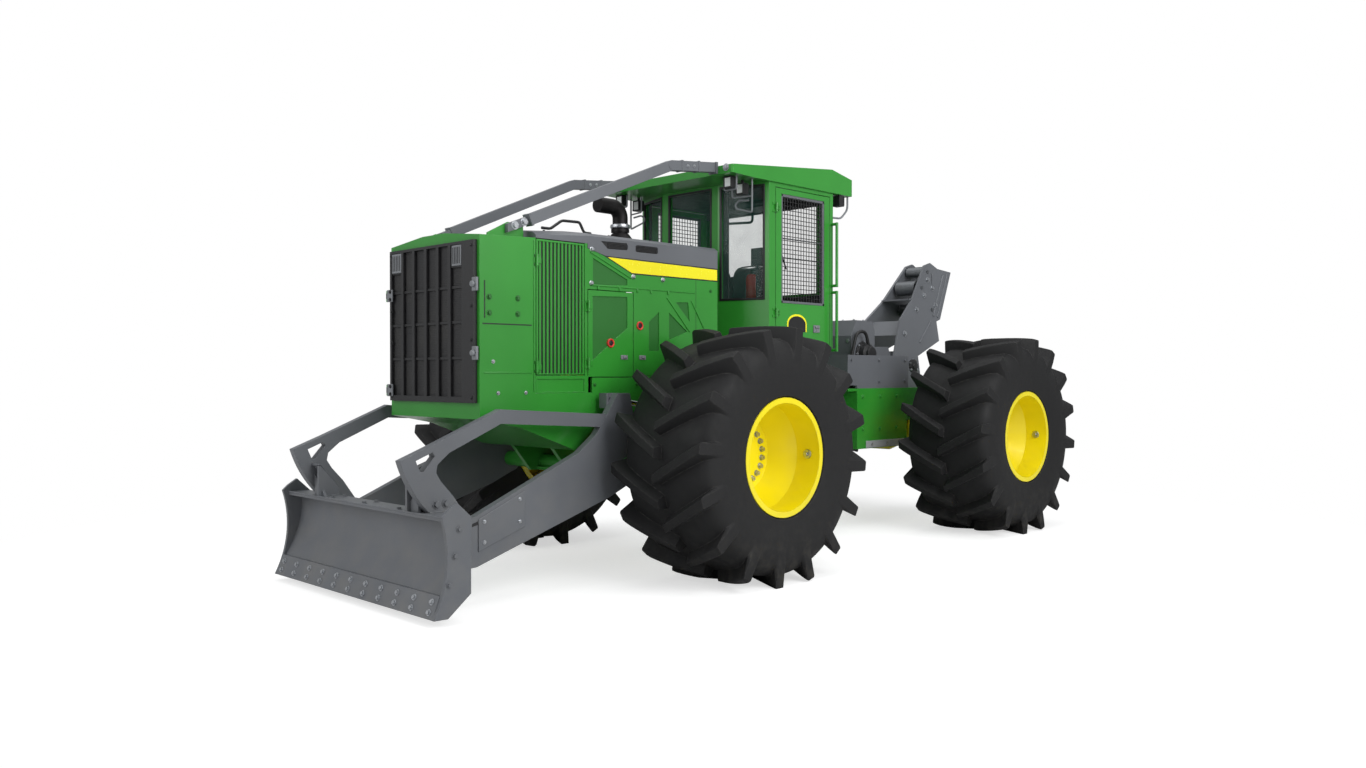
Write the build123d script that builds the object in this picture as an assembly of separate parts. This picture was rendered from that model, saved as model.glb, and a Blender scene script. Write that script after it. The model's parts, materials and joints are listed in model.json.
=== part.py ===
from build123d import *
import math
import os

# Articulated cable skidder: front frame with nose, cab and blade, rear frame with winch and arch.
# Millimetres. +Z is up, the machine faces -Y, and +X is its left side.
# Everything is drawn from the front axle (y = 0) and from a level AXLE_Z below the axles (z = 0),
# and moved once, when it is written, so that the origin lies on the ground at the middle of the
# length. Larger tyres lift the whole machine.

# Driving dimensions
WHEELBASE = 3632.0
TRACK_HALF = 1320.0
FRONT_TIP_Y = -2540.0
REAR_TIP_Y = WHEELBASE + 1248.0
PIVOT_Y = WHEELBASE / 2
ORIGIN_Y = (FRONT_TIP_Y + REAR_TIP_Y) / 2
FIT = 0.4
DOOR_GAP = 6.0
SHEET = 22.0

# Wheels
TYRE_TIP_R = 950.0
TYRE_CROWN_R = 866.0
TYRE_WIDEST_R = 640.0
TYRE_SIDES = 16
TREAD_HALF = 320.0
TYRE_HALF = 440.0
LUGS = 16
LUG_HALF_T = 36.0
LUG_SWEEP = 230.0
AXLE_Z = 920.0
GROUND_Z = AXLE_Z - TYRE_TIP_R
RIM_FLANGE_R = 432.0
RIM_BEAD_R = 406.0
RIM_WALL = 14.0
RIM_HALF = 400.0
RIM_LIP = 14.0
HUB_R = 190.0
HUB_CAP_R = 165.0
DISC_R = 277.0
DISH_X = 185.0
AXLE_TUBE_R = 120.0
AXLE_TUBE_END = 1090.0
AXLE_SEAT = 125.0

# Articulation
NECK_Z0, NECK_Z1 = 640.0, 1060.0
HINGE_LUG_T = 50.0
HINGE_LUG_R = 110.0
PIVOT_PIN_R = 50.0
STEER_X = 360.0
STEER_FRONT_Y = PIVOT_Y - 500.0
STEER_REAR_Y = PIVOT_Y + 520.0
STEER_Z = 840.0
STEER_EYE_R = 45.0
STEER_EYE_H = 90.0
STEER_PIN_R = 20.0
STEER_BARREL_R = 45.0
STEER_ROD_R = 22.5
STEER_BARREL_END = 685.0
STEER_ROD_LENGTH = 665.0
EAR_T = 24.0

# Front frame
RAIL_X0, RAIL_X1 = 230.0, 270.0
RAIL_TOP = 1300.0
RAIL_BOTTOM = 760.0
RAIL_REAR_Y = PIVOT_Y - 486.0
AXLE_NOTCH_HALF = 260.0
AXLE_NOTCH_TOP = 1130.0

# Blade linkage
LIFT_Y, LIFT_Z = -660.0, 820.0
TRUNNION_R = 60.0
ARM_X0, ARM_X1 = 700.0, 760.0
ARM_HUB_R = 110.0
LIFT_FRAME_Y, LIFT_FRAME_Z = 250.0, 1180.0
LIFT_EYE_Y, LIFT_EYE_Z = -700.0, 1330.0
LIFT_X = 670.0
LIFT_EYE_R = 42.0
LIFT_EYE_W = 50.0
LIFT_PIN_R = 20.0
LIFT_BARREL_R = 42.0
LIFT_ROD_R = 22.5
LIFT_BARREL_END = 600.0
LIFT_ROD_LENGTH = 640.0

# Blade
BLADE_HALF = 1083.5
END_PLATE_T = 25.0
BLADE_SKIN = 20.0
BLADE_TOP = 648.0
BLADE_BACK_Y = -2244.0
ARM_TOP = 590.0
ARM_KNEE = (-1129.0, 962.0)
DEFLECTOR_BEND_Y = -1791.0

# Brush rails
RAIL_LOW_X = 500.0
BRUSH_RAIL_W = 64.0
BRUSH_RAIL_H = 78.0

# Nose and engine housing
SIDE_X = 574.3
NOSE_FRONT_Y = -1833.0
NOSE_REAR_Y = -1364.0
NOSE_TOP_FRONT, NOSE_TOP_REAR = 2461.0, 2478.0
NOSE_CROWN = 44.0
CROWN_X = 140.0
NOSE_Z0 = 1214.0
NOSE_WALL = 20.0
GUSSET_X = RAIL_LOW_X - BRUSH_RAIL_W / 2 - 12.3
GUSSET_TOP = 2583.0
GRILLE_HALF = 545.0
GRILLE_Z0, GRILLE_Z1 = 1324.0, 2427.0
GRILLE_T = 30.0
GRILLE_HINGE_X = -600.0
GRILLE_HINGE_Z = (1400.0, 2100.0)
BELLY_REAR_Y = -848.0
HOOD_REAR_Y = 505.0
SEAM_Z = 1500.0
LOUVRE_Y0, LOUVRE_Y1 = NOSE_REAR_Y + DOOR_GAP, -923.0
LOUVRE_HINGE_Z = (1570.0, 2320.0)
LOUVRE_Z0, LOUVRE_Z1 = 1516.0, 2472.0
SILL_Z = 1384.0
ENGINE_DOOR_Y0, ENGINE_DOOR_Y1 = -885.0, -439.0
ENGINE_DOOR_Z0, ENGINE_DOOR_Z1 = SEAM_Z, 2139.0
ENGINE_HINGE_Z = (1600.0, 2020.0)
SIDE_TOP_Z = 2478.0
SKIRT = (
    # y, z of the hood skirt's lower edge
    (-888.0, 2445.0),
    (-716.0, 2400.0),
    (HOOD_REAR_Y, 2386.0),
)
RELIEFS = {
    # panel: outlines (y, z) pressed into it
    "engine_door": (
        ((-842.0, 2095.0), (-498.0, 2105.0), (-498.0, 1870.0), (-842.0, 1623.0)),
    ),
    "side_panels": (
        ((-839.0, 2376.0), (-498.0, 2236.0), (-498.0, 2195.0), (-839.0, 2175.0)),
        ((-272.0, 1923.0), (-164.0, 2005.0), (-164.0, 1700.0), (-272.0, 1699.0)),
        ((23.0, 2088.0), (159.0, 2095.0), (178.0, 1942.0)),
        ((-54.0, 2004.0), (148.0, 1859.0), (-54.0, 1789.0)),
    ),
}
RELIEF_DEPTH = 7.0
VENTS = (
    # y, z
    ((-760.0, 2508.0), (-505.0, 2512.0), (-492.0, 2500.0), (-492.0, 2470.0), (-505.0, 2459.0), (-694.0, 2454.0)),
    ((-400.0, 2508.0), (-187.0, 2508.0), (-175.0, 2497.0), (-175.0, 2466.0), (-187.0, 2455.0),
     (-400.0, 2453.0), (-412.0, 2464.0), (-412.0, 2497.0)),
)
HOOD_SIDE_Z = 2535.0
HOOD_TOP_Z = 2594.0
HOOD_NOSE_DROP = 36.0

# Cab
CAB_FRONT_Y = 760.0
CAB_FRONT_HALF = 340.0
CAB_CORNER_Y = 918.0
CAB_HALF = 780.0
CAB_REAR_Y = 1802.0
CAB_Z0, CAB_Z1 = 1720.0, 3140.0
CAB_WALL = 40.0
DOOR_Y0, DOOR_Y1 = 1000.0, 1756.0
DOOR_Z0, DOOR_Z1 = 1770.0, 3105.0
DOOR_WINDOW_Z0, DOOR_WINDOW_Z1 = 2125.0, 3055.0
CAB_HINGE_Z = (2040.0, 2930.0)
GLASS_T = 6.0
SEAT_FRONT_Y = 1150.0
ROOF_FRONT_Y = 438.0
ROOF_EDGE_Z = 3150.0
ROOF_HALF = 800.0
LAMPS = (
    # x, y, lower edge
    (668.0, 560.0, 3050.0),
    (640.0, 740.0, 3020.0),
    (750.0, CAB_REAR_Y + 112.0, 3040.0),
)
HINGE_R = 12.0
HINGE_PIN_R = 6.0
HINGE_HEIGHT = 40.0
HINGE_OUT = 13.0

# Rear frame
REAR_HALF = 500.0
REAR_BOX_Y0, REAR_BOX_Y1 = WHEELBASE - 1067.0, WHEELBASE + 818.0
REAR_BOX_Z0, REAR_BOX_Z1 = 790.0, 1380.0
GUARD_Y0, GUARD_Y1 = WHEELBASE - 1220.0, WHEELBASE - 182.0
GUARD_TOP = 1704.0
ARCH_TILT = 9.6
ARCH_BASE_X = 301.0
ARCH_BASE_Z = 1710.0
ARCH_T = 25.0
DRUM_Y, DRUM_Z = WHEELBASE - 302.0, 1590.0
HITCH_PIN_R = 25.0
ROLLER_PIN_R = 20.0
ROLLERS = {
    # name: y, z, half length of the roller, half length of its pin, radius
    "roller_top": (WHEELBASE + 748.0, 2655.0, 98.0, 150.0, 62.0),
    "roller_mid": (WHEELBASE + 583.0, 2470.0, 120.0, 181.0, 80.0),
    "roller_low": (WHEELBASE + 728.0, 2230.0, 175.0, 225.0, 75.0),
}

NODES = {}


def box(x0, x1, y0, y1, z0, z1):
    """A block given by its limits."""
    middle = ((x0 + x1) / 2, (y0 + y1) / 2, (z0 + z1) / 2)
    return Pos(*middle) * Box(abs(x1 - x0), abs(y1 - y0), abs(z1 - z0))


def side_plate(outline, x0, x1):
    """A plate with an outline of (y, z) points, from x0 to x1."""
    edge = Polyline(*[(x0, y, z) for y, z in outline], close=True)
    return extrude(make_face(edge.edges()), amount=x1 - x0, dir=(1, 0, 0))


def flat_plate(outline, z0, z1):
    """A plate with an outline of (x, y) points, from z0 up to z1."""
    edge = Polyline(*[(x, y, z0) for x, y in outline], close=True)
    return extrude(make_face(edge.edges()), amount=z1 - z0, dir=(0, 0, 1))


def cross_plate(outline, y0, y1):
    """A plate with an outline of (x, z) points, from y0 to y1."""
    edge = Polyline(*[(x, y0, z) for x, z in outline], close=True)
    return extrude(make_face(edge.edges()), amount=y1 - y0, dir=(0, 1, 0))


def rod(start, end, radius):
    """A round bar between two points."""
    run = Vector(*end) - Vector(*start)
    plane = Plane(origin=start, z_dir=run)
    return plane * Cylinder(radius, run.length, align=(Align.CENTER, Align.CENTER, Align.MIN))


def beam(start, end, width, height):
    """A square bar between two points, its width along X."""
    run = Vector(*end) - Vector(*start)
    plane = Plane(origin=start, x_dir=(1, 0, 0), z_dir=run)
    return plane * Box(width, height, run.length, align=(Align.CENTER, Align.CENTER, Align.MIN))


def mirrored(shape):
    """The same piece on the machine's other side."""
    return mirror(shape, about=Plane.YZ)


def node(name, *shapes):
    """Keeps the solids of one sub-part under its name."""
    solids = []
    for shape in shapes:
        solids.extend(shape.solids())
    NODES[name] = solids


def turned_about_x(profile):
    """A turned piece from (x, radius) points about the X axis."""
    edge = Polyline(*[(x, 0, r) for x, r in profile], close=True)
    return revolve(make_face(edge.edges()), axis=Axis.X, revolution_arc=360)


# Door hinges

def door_hinge(x, y, z, door_leaf, frame_leaf):
    """A hinge about a vertical pin: the door's half and the frame's half.

    Each leaf is (x0, x1, y0, y1), the plan of the flat strip that runs to its own side.
    """
    half = HINGE_HEIGHT / 2
    lug_half = half / 2
    door = box(*door_leaf, z - half, z + half) + Pos(x, y, z) * Cylinder(HINGE_R, HINGE_HEIGHT)
    door -= Pos(x, y, z) * Cylinder(HINGE_PIN_R + FIT, HINGE_HEIGHT + 10)
    frame = Pos(x, y, z) * Cylinder(HINGE_PIN_R, HINGE_HEIGHT + 4 * lug_half)
    for centre in (z - half - lug_half - FIT, z + half + lug_half + FIT):
        frame += Pos(x, y, centre) * Cylinder(HINGE_R, 2 * lug_half)
        frame += box(*frame_leaf, centre - lug_half, centre + lug_half)
    return door, frame


# Wheels

def wheel_prism(radius, x):
    """A regular face across the wheel at x, flat side down, its flats at the given radius."""
    corner = radius / math.cos(math.pi / TYRE_SIDES)
    points = []
    for i in range(TYRE_SIDES):
        angle = math.radians(360.0 / TYRE_SIDES) * (i + 0.5)
        points.append((x, corner * math.sin(angle), corner * math.cos(angle)))
    return make_face(Polyline(*points, close=True).edges())


def wheel_stack(sections):
    """A ruled body through the faces at each (x, radius)."""
    return loft([wheel_prism(radius, x) for x, radius in sections], ruled=True)


def tread_lug(side):
    """One tread lug at the top of the wheel, on its outer (1) or inner (-1) half.

    It is a straight bar that leans back from the middle of the tread and ends on the side wall.
    """
    length = math.hypot(TYRE_HALF, LUG_SWEEP)
    along = Vector(side * TYRE_HALF / length, LUG_SWEEP / length, 0)
    end = length - LUG_HALF_T * LUG_SWEEP / TYRE_HALF
    plane = Plane(origin=(0, -LUG_SWEEP / 2, 0), x_dir=along, z_dir=Vector(along.Y, -along.X, 0))
    up = 1.0 if plane.y_dir.Z > 0 else -1.0
    outline = [
        # run from the middle, radius
        (-10.0, 800.0),
        (-10.0, TYRE_TIP_R - 12.0),
        (length / 2, TYRE_TIP_R),
        (end, TYRE_TIP_R - 20.0),
        (end, 790.0),
        (end - 30.0, 690.0),
    ]
    edge = Polyline(*[(run, up * radius) for run, radius in outline], close=True)
    return plane * extrude(make_face(edge.edges()), amount=LUG_HALF_T, both=True)


def make_tyre():
    """One left tyre about its own centre, the outer side at +X."""
    bead_half = RIM_HALF - RIM_LIP - FIT
    sections = [
        # x, radius
        (-TYRE_HALF, TYRE_WIDEST_R),
        (-TYRE_HALF + 15.0, 790.0),
        (-TREAD_HALF, TYRE_CROWN_R),
        (TREAD_HALF, TYRE_CROWN_R),
        (TYRE_HALF - 15.0, 790.0),
        (TYRE_HALF, TYRE_WIDEST_R),
    ]
    body = wheel_stack(sections)
    for side in (-1, 1):
        inner = bead_half * side
        outer = (TYRE_HALF + 1.0) * side
        body -= wheel_stack(sorted([(inner, RIM_FLANGE_R + 8.0), (outer, TYRE_WIDEST_R - 10.0)]))
    bore = RIM_BEAD_R + FIT
    body -= wheel_stack([(-TYRE_HALF - 5.0, bore), (TYRE_HALF + 5.0, bore)])
    pitch = 360.0 / LUGS
    lugs = []
    for side, start in ((1, 0.0), (-1, pitch / 2)):
        lug = tread_lug(side)
        lugs += [Rot(start + i * pitch, 0, 0) * lug for i in range(LUGS)]
    return body.fuse(*lugs)


def make_rim():
    """One left rim with its dished disc and hub about its own centre."""
    barrel_in = RIM_BEAD_R - RIM_WALL
    disc_face = -8.0
    disc_back = -30.0
    profile = [
        # x, radius
        (-RIM_HALF, RIM_FLANGE_R),
        (-RIM_HALF + RIM_LIP, RIM_FLANGE_R),
        (-RIM_HALF + RIM_LIP, RIM_BEAD_R),
        (RIM_HALF - RIM_LIP, RIM_BEAD_R),
        (RIM_HALF - RIM_LIP, RIM_FLANGE_R),
        (RIM_HALF, RIM_FLANGE_R),
        (RIM_HALF, barrel_in),
        (DISH_X, barrel_in),
        (disc_face, DISC_R),
        (disc_face, HUB_CAP_R),
        (disc_face + 14.0, HUB_CAP_R - 8.0),
        (disc_face + 14.0, 0.0),
        (-200.0, 0.0),
        (-200.0, AXLE_TUBE_R + FIT),
        (-330.0, AXLE_TUBE_R + FIT),
        (-330.0, HUB_R),
        (disc_back, HUB_R),
        (disc_back, DISC_R - 5.0),
        (DISH_X - 30.0, barrel_in),
        (-RIM_HALF, barrel_in),
    ]
    return turned_about_x(profile)


def build_wheels():
    tyre = make_tyre()
    rim = make_rim()
    for end, y in (("front", 0.0), ("rear", WHEELBASE)):
        for side in ("left", "right"):
            for name, shape in (("tyre", tyre), ("rim", rim)):
                placed = Pos(TRACK_HALF, y, AXLE_Z) * shape
                if side == "right":
                    placed = mirrored(placed)
                node(f"{name}_{end}_{side}", placed)


def make_axle():
    """An axle housing about its own centre: tube, brake drums and differential bowl."""
    bowl_r = 200.0
    drum_r = 165.0
    profile = [
        # x, radius
        (-AXLE_TUBE_END, 0.0),
        (-AXLE_TUBE_END, AXLE_TUBE_R),
        (-960.0, AXLE_TUBE_R),
        (-960.0, drum_r),
        (-800.0, drum_r),
        (-760.0, 105.0),
        (-330.0, 120.0),
        (-150.0, bowl_r),
        (150.0, bowl_r),
        (330.0, 120.0),
        (760.0, 105.0),
        (800.0, drum_r),
        (960.0, drum_r),
        (960.0, AXLE_TUBE_R),
        (AXLE_TUBE_END, AXLE_TUBE_R),
        (AXLE_TUBE_END, 0.0),
    ]
    return turned_about_x(profile)


def build_axles():
    front = Pos(0, 0, AXLE_Z) * make_axle()
    front += box(-RAIL_X1 - 30, RAIL_X1 + 30, -120, 120, 1000, AXLE_NOTCH_TOP)
    front += rod((0, 0, AXLE_Z), (0, 330, AXLE_Z), 110)
    node("front_axle", front)
    rear = Pos(0, WHEELBASE, AXLE_Z) * make_axle()
    rear += rod((0, WHEELBASE, AXLE_Z), (0, WHEELBASE - 330, AXLE_Z), 110)
    seat = box(350, 450, WHEELBASE - 100, WHEELBASE + 100, AXLE_Z, AXLE_Z + AXLE_SEAT)
    rear += seat + mirrored(seat)
    node("rear_axle", rear)


# Articulation

def lug(z0, z1, neck_y):
    """A hinge lug about the articulation pivot, running back to its neck."""
    plate = Pos(0, PIVOT_Y, (z0 + z1) / 2) * Cylinder(HINGE_LUG_R, z1 - z0)
    low, high = sorted((neck_y, PIVOT_Y))
    return plate + box(-HINGE_LUG_R, HINGE_LUG_R, low, high, z0, z1)


def steer_ears(x_in, x_out, y0, y1):
    """The upper and lower ear plates beside a steering cylinder's eye."""
    half = STEER_EYE_H / 2 + 0.5
    upper = box(x_in, x_out, y0, y1, STEER_Z + half, STEER_Z + half + EAR_T)
    lower = box(x_in, x_out, y0, y1, STEER_Z - half - EAR_T, STEER_Z - half)
    return upper + lower


def build_front_frame():
    outline = [
        # y, z
        (-1700.0, RAIL_TOP),
        (-1700.0, 1210.6),
        (-1500.0, 1168.4),
        (-1000.0, 1000.0),
        (-800.0, RAIL_BOTTOM),
        (-AXLE_NOTCH_HALF, RAIL_BOTTOM),
        (-AXLE_NOTCH_HALF, AXLE_NOTCH_TOP),
        (AXLE_NOTCH_HALF, AXLE_NOTCH_TOP),
        (AXLE_NOTCH_HALF, RAIL_BOTTOM),
        (RAIL_REAR_Y, RAIL_BOTTOM),
        (RAIL_REAR_Y, RAIL_TOP),
    ]
    frame = side_plate(outline, RAIL_X0, RAIL_X1) + side_plate(outline, -RAIL_X1, -RAIL_X0)
    neck_y = PIVOT_Y - 216.0
    neck = [
        # x, y
        (-RAIL_X1, RAIL_REAR_Y - 20.0),
        (RAIL_X1, RAIL_REAR_Y - 20.0),
        (RAIL_X1, RAIL_REAR_Y + 10.0),
        (170.0, neck_y),
        (-170.0, neck_y),
        (-RAIL_X1, RAIL_REAR_Y + 10.0),
    ]
    frame += flat_plate(neck, NECK_Z0, NECK_Z1)
    frame += lug(NECK_Z1 - HINGE_LUG_T, NECK_Z1, neck_y)
    frame += lug(NECK_Z0, NECK_Z0 + HINGE_LUG_T, neck_y)
    for z in (NECK_Z0 + HINGE_LUG_T / 2, NECK_Z1 - HINGE_LUG_T / 2):
        frame -= Pos(0, PIVOT_Y, z) * Cylinder(PIVOT_PIN_R + FIT, HINGE_LUG_T + 10)
    # cross members, blade trunnion and the plate under the engine
    frame += box(-RAIL_X0, RAIL_X0, -1700, -1660, 1250, RAIL_TOP)
    frame += box(-RAIL_X0, RAIL_X0, -740, -330, RAIL_BOTTOM, RAIL_BOTTOM + 25)
    frame += box(-RAIL_X0, RAIL_X0, 340, RAIL_REAR_Y - 20, RAIL_BOTTOM, RAIL_BOTTOM + 25)
    frame += rod((-ARM_X1 - 1, LIFT_Y, LIFT_Z), (ARM_X1 + 1, LIFT_Y, LIFT_Z), TRUNNION_R)
    for side in (-1, 1):
        cap = sorted((side * (ARM_X1 + 1.0), side * (ARM_X1 + 18.0)))
        frame += rod((cap[0], LIFT_Y, LIFT_Z), (cap[1], LIFT_Y, LIFT_Z), TRUNNION_R + 30)
        frame += lift_bracket(side)
        x_in, x_out = sorted((side * (RAIL_X1 - 5), side * (STEER_X + 50)))
        frame += steer_ears(x_in, x_out, STEER_FRONT_Y - 60, STEER_FRONT_Y + 50)
        pin_top = STEER_Z + STEER_EYE_H / 2 + EAR_T + 8
        pin_low = STEER_Z - STEER_EYE_H / 2 - EAR_T - 8
        x = side * STEER_X
        frame += rod((x, STEER_FRONT_Y, pin_low), (x, STEER_FRONT_Y, pin_top), STEER_PIN_R)
        frame += cab_support(side)
    frame += steps()
    node("front_frame", frame)


def lift_bracket(side):
    """The outboard bracket that holds one blade lift cylinder, with its pin."""
    half = LIFT_EYE_W / 2 + 0.5
    ear = 22.0
    y0, y1 = LIFT_FRAME_Y - 30, LIFT_FRAME_Y + 100
    z0, z1 = LIFT_FRAME_Z - 60, LIFT_FRAME_Z + 55
    bracket = box(RAIL_X1 - 5, LIFT_X - half - ear + 5, y0, y1, 1100, 1200)
    bracket += box(LIFT_X - half - ear, LIFT_X - half, y0, y1, z0, z1)
    bracket += box(LIFT_X + half, LIFT_X + half + ear, y0, y1, z0, z1)
    bracket += box(LIFT_X - half - ear, LIFT_X + half + ear, y1 - 40, y1, z0, z1)
    pin_end = half + ear + 8
    bracket += rod((LIFT_X - pin_end, LIFT_FRAME_Y, LIFT_FRAME_Z),
                   (LIFT_X + pin_end, LIFT_FRAME_Y, LIFT_FRAME_Z), LIFT_PIN_R)
    return bracket if side > 0 else mirrored(bracket)


def cab_support(side):
    """A side box beside the rails and the two posts that carry one side of the cab."""
    box_x = 760.0
    support = box(RAIL_X1 - 5, box_x, 960, 1600, 950, 1350)
    support += box(RAIL_X1 - 5, 620, 600, 965, 1220, RAIL_TOP)
    support += box(480, 620, 800, 900, RAIL_TOP - 5, CAB_Z0)
    support += box(700, box_x, 1400, 1500, 1345, CAB_Z0)
    return support if side > 0 else mirrored(support)


def steps():
    """Three treads between two side plates, below the left door."""
    x0, x1 = 755.0, 1010.0
    plate = 14.0
    y0, y1 = 1130.0, 1580.0
    ladder = side_steps_plate(x0, x1, y0, plate) + side_steps_plate(x0, x1, y1 - plate, plate)
    for tread_z, tread_x in ((560.0, x1), (860.0, 980.0), (1150.0, 940.0)):
        ladder += box(x0 + 30, tread_x - 5, y0 + plate - 2, y1 - plate + 2, tread_z, tread_z + 30)
    return ladder


def side_steps_plate(x0, x1, y, thickness):
    """One side plate of the steps."""
    outline = [
        # x, z
        (x0, 1300.0),
        (x0, 960.0),
        (x0 + 30, 540.0),
        (x1, 540.0),
        (x1, 600.0),
        (930.0, 1300.0),
    ]
    return cross_plate(outline, y, y + thickness)


def build_steering_cylinders():
    for name, side in (("left", 1), ("right", -1)):
        x = side * STEER_X
        eye = Pos(x, STEER_FRONT_Y, STEER_Z) * Cylinder(STEER_EYE_R, STEER_EYE_H)
        start = (x, STEER_FRONT_Y + 20, STEER_Z)
        end = (x, STEER_FRONT_Y + STEER_BARREL_END, STEER_Z)
        barrel = rod(start, end, STEER_BARREL_R - 2) + eye
        barrel -= Pos(x, STEER_FRONT_Y, STEER_Z) * Cylinder(STEER_PIN_R + FIT, STEER_EYE_H + 10)
        barrel -= rod((x, STEER_FRONT_Y + 70, STEER_Z), (x, end[1] + 5, STEER_Z), STEER_ROD_R + FIT)
        node(f"steer_barrel_{name}", barrel)
        rod_eye = Pos(x, STEER_REAR_Y, STEER_Z) * Cylinder(STEER_EYE_R, STEER_EYE_H)
        rod_start = (x, STEER_REAR_Y - STEER_ROD_LENGTH, STEER_Z)
        node(f"steer_rod_{name}", rod(rod_start, (x, STEER_REAR_Y, STEER_Z), STEER_ROD_R) + rod_eye)


# Blade

def blade_outline():
    """The end plate's outline as (y, z), its front edge hollowed by an arc elsewhere."""
    return [
        (-2450.0, 660.0),
        (-2411.0, 696.0),
        (-2342.0, 740.0),
        (BLADE_BACK_Y, 650.0),
        (BLADE_BACK_Y, 177.0),
        (-2408.0, 45.0),
        (-2506.0, 47.0),
    ]


def end_plate(x0, x1):
    """One blade end plate with its hollow front edge."""
    points = blade_outline()
    start, end = points[0], points[-1]
    middle = (-2412.0, 425.0)
    front = ThreePointArc((x0, *end), (x0, *middle), (x0, *start))
    rest = Polyline(*[(x0, y, z) for y, z in points])
    return extrude(make_face((rest + front).edges()), amount=x1 - x0, dir=(1, 0, 0))


def build_blade():
    inner = BLADE_HALF - END_PLATE_T
    blade = end_plate(inner, BLADE_HALF) + end_plate(-BLADE_HALF, -inner)
    # the hollow skin between the cutting edge and the top flange
    bottom, middle, top = (-2436.0, 178.0), (-2330.0, 400.0), (-2305.0, 632.0)
    front = ThreePointArc((-inner, *bottom), (-inner, *middle), (-inner, *top))
    back = ThreePointArc((-inner, top[0] + BLADE_SKIN, top[1]),
                         (-inner, middle[0] + BLADE_SKIN, middle[1]),
                         (-inner, bottom[0] + BLADE_SKIN, bottom[1]))
    ends = Line(front @ 1, back @ 0) + Line(back @ 1, front @ 0)
    skin = make_face((front + back + ends).edges())
    blade += extrude(skin, amount=2 * inner, dir=(1, 0, 0))
    edge = [(-2452.0, 186.0), (-2412.0, 186.0), (-2474.0, 50.0), (-2504.0, 47.0)]
    blade += side_plate(edge, -inner, inner)
    flange_under = BLADE_TOP - 24.0
    top_beam = [(-2406.0, flange_under), (-2406.0, BLADE_TOP), (BLADE_BACK_Y, BLADE_TOP),
                (BLADE_BACK_Y, 500.0), (-2300.0, 500.0), (-2296.0, flange_under)]
    blade += side_plate(top_beam, -inner, inner)
    low_beam = [(-2425.0, 184.0), (-2343.0, 330.0), (BLADE_BACK_Y, 330.0), (BLADE_BACK_Y, 200.0)]
    blade += side_plate(low_beam, -inner, inner)
    node("blade", blade)


def push_arm():
    """The plate of the left push arm with its rear upright."""
    outline = [
        # y, z
        (BLADE_BACK_Y, 250.0),
        (BLADE_BACK_Y, ARM_TOP),
        (-2000.0, ARM_TOP),
        ARM_KNEE,
        (-971.0, 1081.0),
        (-880.0, 1200.0),
        (-760.0, 1380.0),
        (-640.0, 1380.0),
        (-600.0, 1200.0),
        (LIFT_Y + 90, LIFT_Z + 60),
        (LIFT_Y + 40, LIFT_Z - 100),
        (-833.0, 628.0),
        (-1984.0, 262.0),
    ]
    return side_plate(outline, ARM_X0, ARM_X1)


def build_push_arms():
    arms = push_arm()
    arms += rod((ARM_X0, LIFT_Y, LIFT_Z), (ARM_X1, LIFT_Y, LIFT_Z), ARM_HUB_R)
    arms -= rod((ARM_X0 - 5, LIFT_Y, LIFT_Z), (ARM_X1 + 5, LIFT_Y, LIFT_Z), TRUNNION_R + FIT)
    half = LIFT_EYE_W / 2 + 0.5
    ear = 22.0
    y0, y1 = LIFT_EYE_Y - 60, LIFT_EYE_Y + 50
    z0, z1 = LIFT_EYE_Z - 60, LIFT_EYE_Z + 50
    arms += box(LIFT_X - half - ear, LIFT_X - half, y0 - 60, y1, z0, z1)
    arms += box(LIFT_X - half - ear, ARM_X0 + 5, y0 - 60, y0 - 40, z0, z1)
    node("push_arms", arms, mirrored(arms))


def build_deflector_bars():
    """The brackets on the blade's top and the bars that run back beside the nose."""
    tip, curve, foot = (FRONT_TIP_Y, 985.0), (-2450.0, 790.0), (-2337.0, BLADE_TOP)
    rest = [
        # y, z, back from the foot along the blade's top and the arm, and forward over the top
        foot,
        (BLADE_BACK_Y, BLADE_TOP),
        (BLADE_BACK_Y, ARM_TOP),
        (-2055.0, ARM_TOP),
        (-2161.0, 741.0),
        (-2248.0, 836.0),
        (-2286.0, 895.0),
        (-2275.0, 948.0),
        (-2190.0, 1018.0),
        (DEFLECTOR_BEND_Y, 1190.0),
        (DEFLECTOR_BEND_Y, 1287.0),
        (-2307.0, 1075.0),
        tip,
    ]
    front = ThreePointArc((ARM_X0, *tip), (ARM_X0, *curve), (ARM_X0, *foot))
    back = Polyline(*[(ARM_X0, y, z) for y, z in rest])
    bars = extrude(make_face((front + back).edges()), amount=ARM_X1 - ARM_X0, dir=(1, 0, 0))
    hole = [(-2432.0, 980.0), (-2312.0, 1028.0), (-2296.0, 1002.0), (-2378.0, 908.0), (-2400.0, 908.0)]
    bars -= side_plate(hole, ARM_X0 - 5, ARM_X1 + 5)
    gusset = [(ARM_X0 + 2, BLADE_TOP), (ARM_X0 - 160, BLADE_TOP), (ARM_X0 + 2, 800.0)]
    bars += cross_plate(gusset, -2380.0, -2360.0)
    tube = [
        (DEFLECTOR_BEND_Y - 4, 1286.0),
        (DEFLECTOR_BEND_Y - 4, 1190.0),
        (-850.0, 1134.0),
        (-850.0, 1230.0),
    ]
    bars += side_plate(tube, ARM_X0, ARM_X1)
    bars = (bars - push_arm()).solids().sort_by(SortBy.VOLUME)[-1]
    node("deflector_bars", bars, mirrored(bars))


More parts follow.
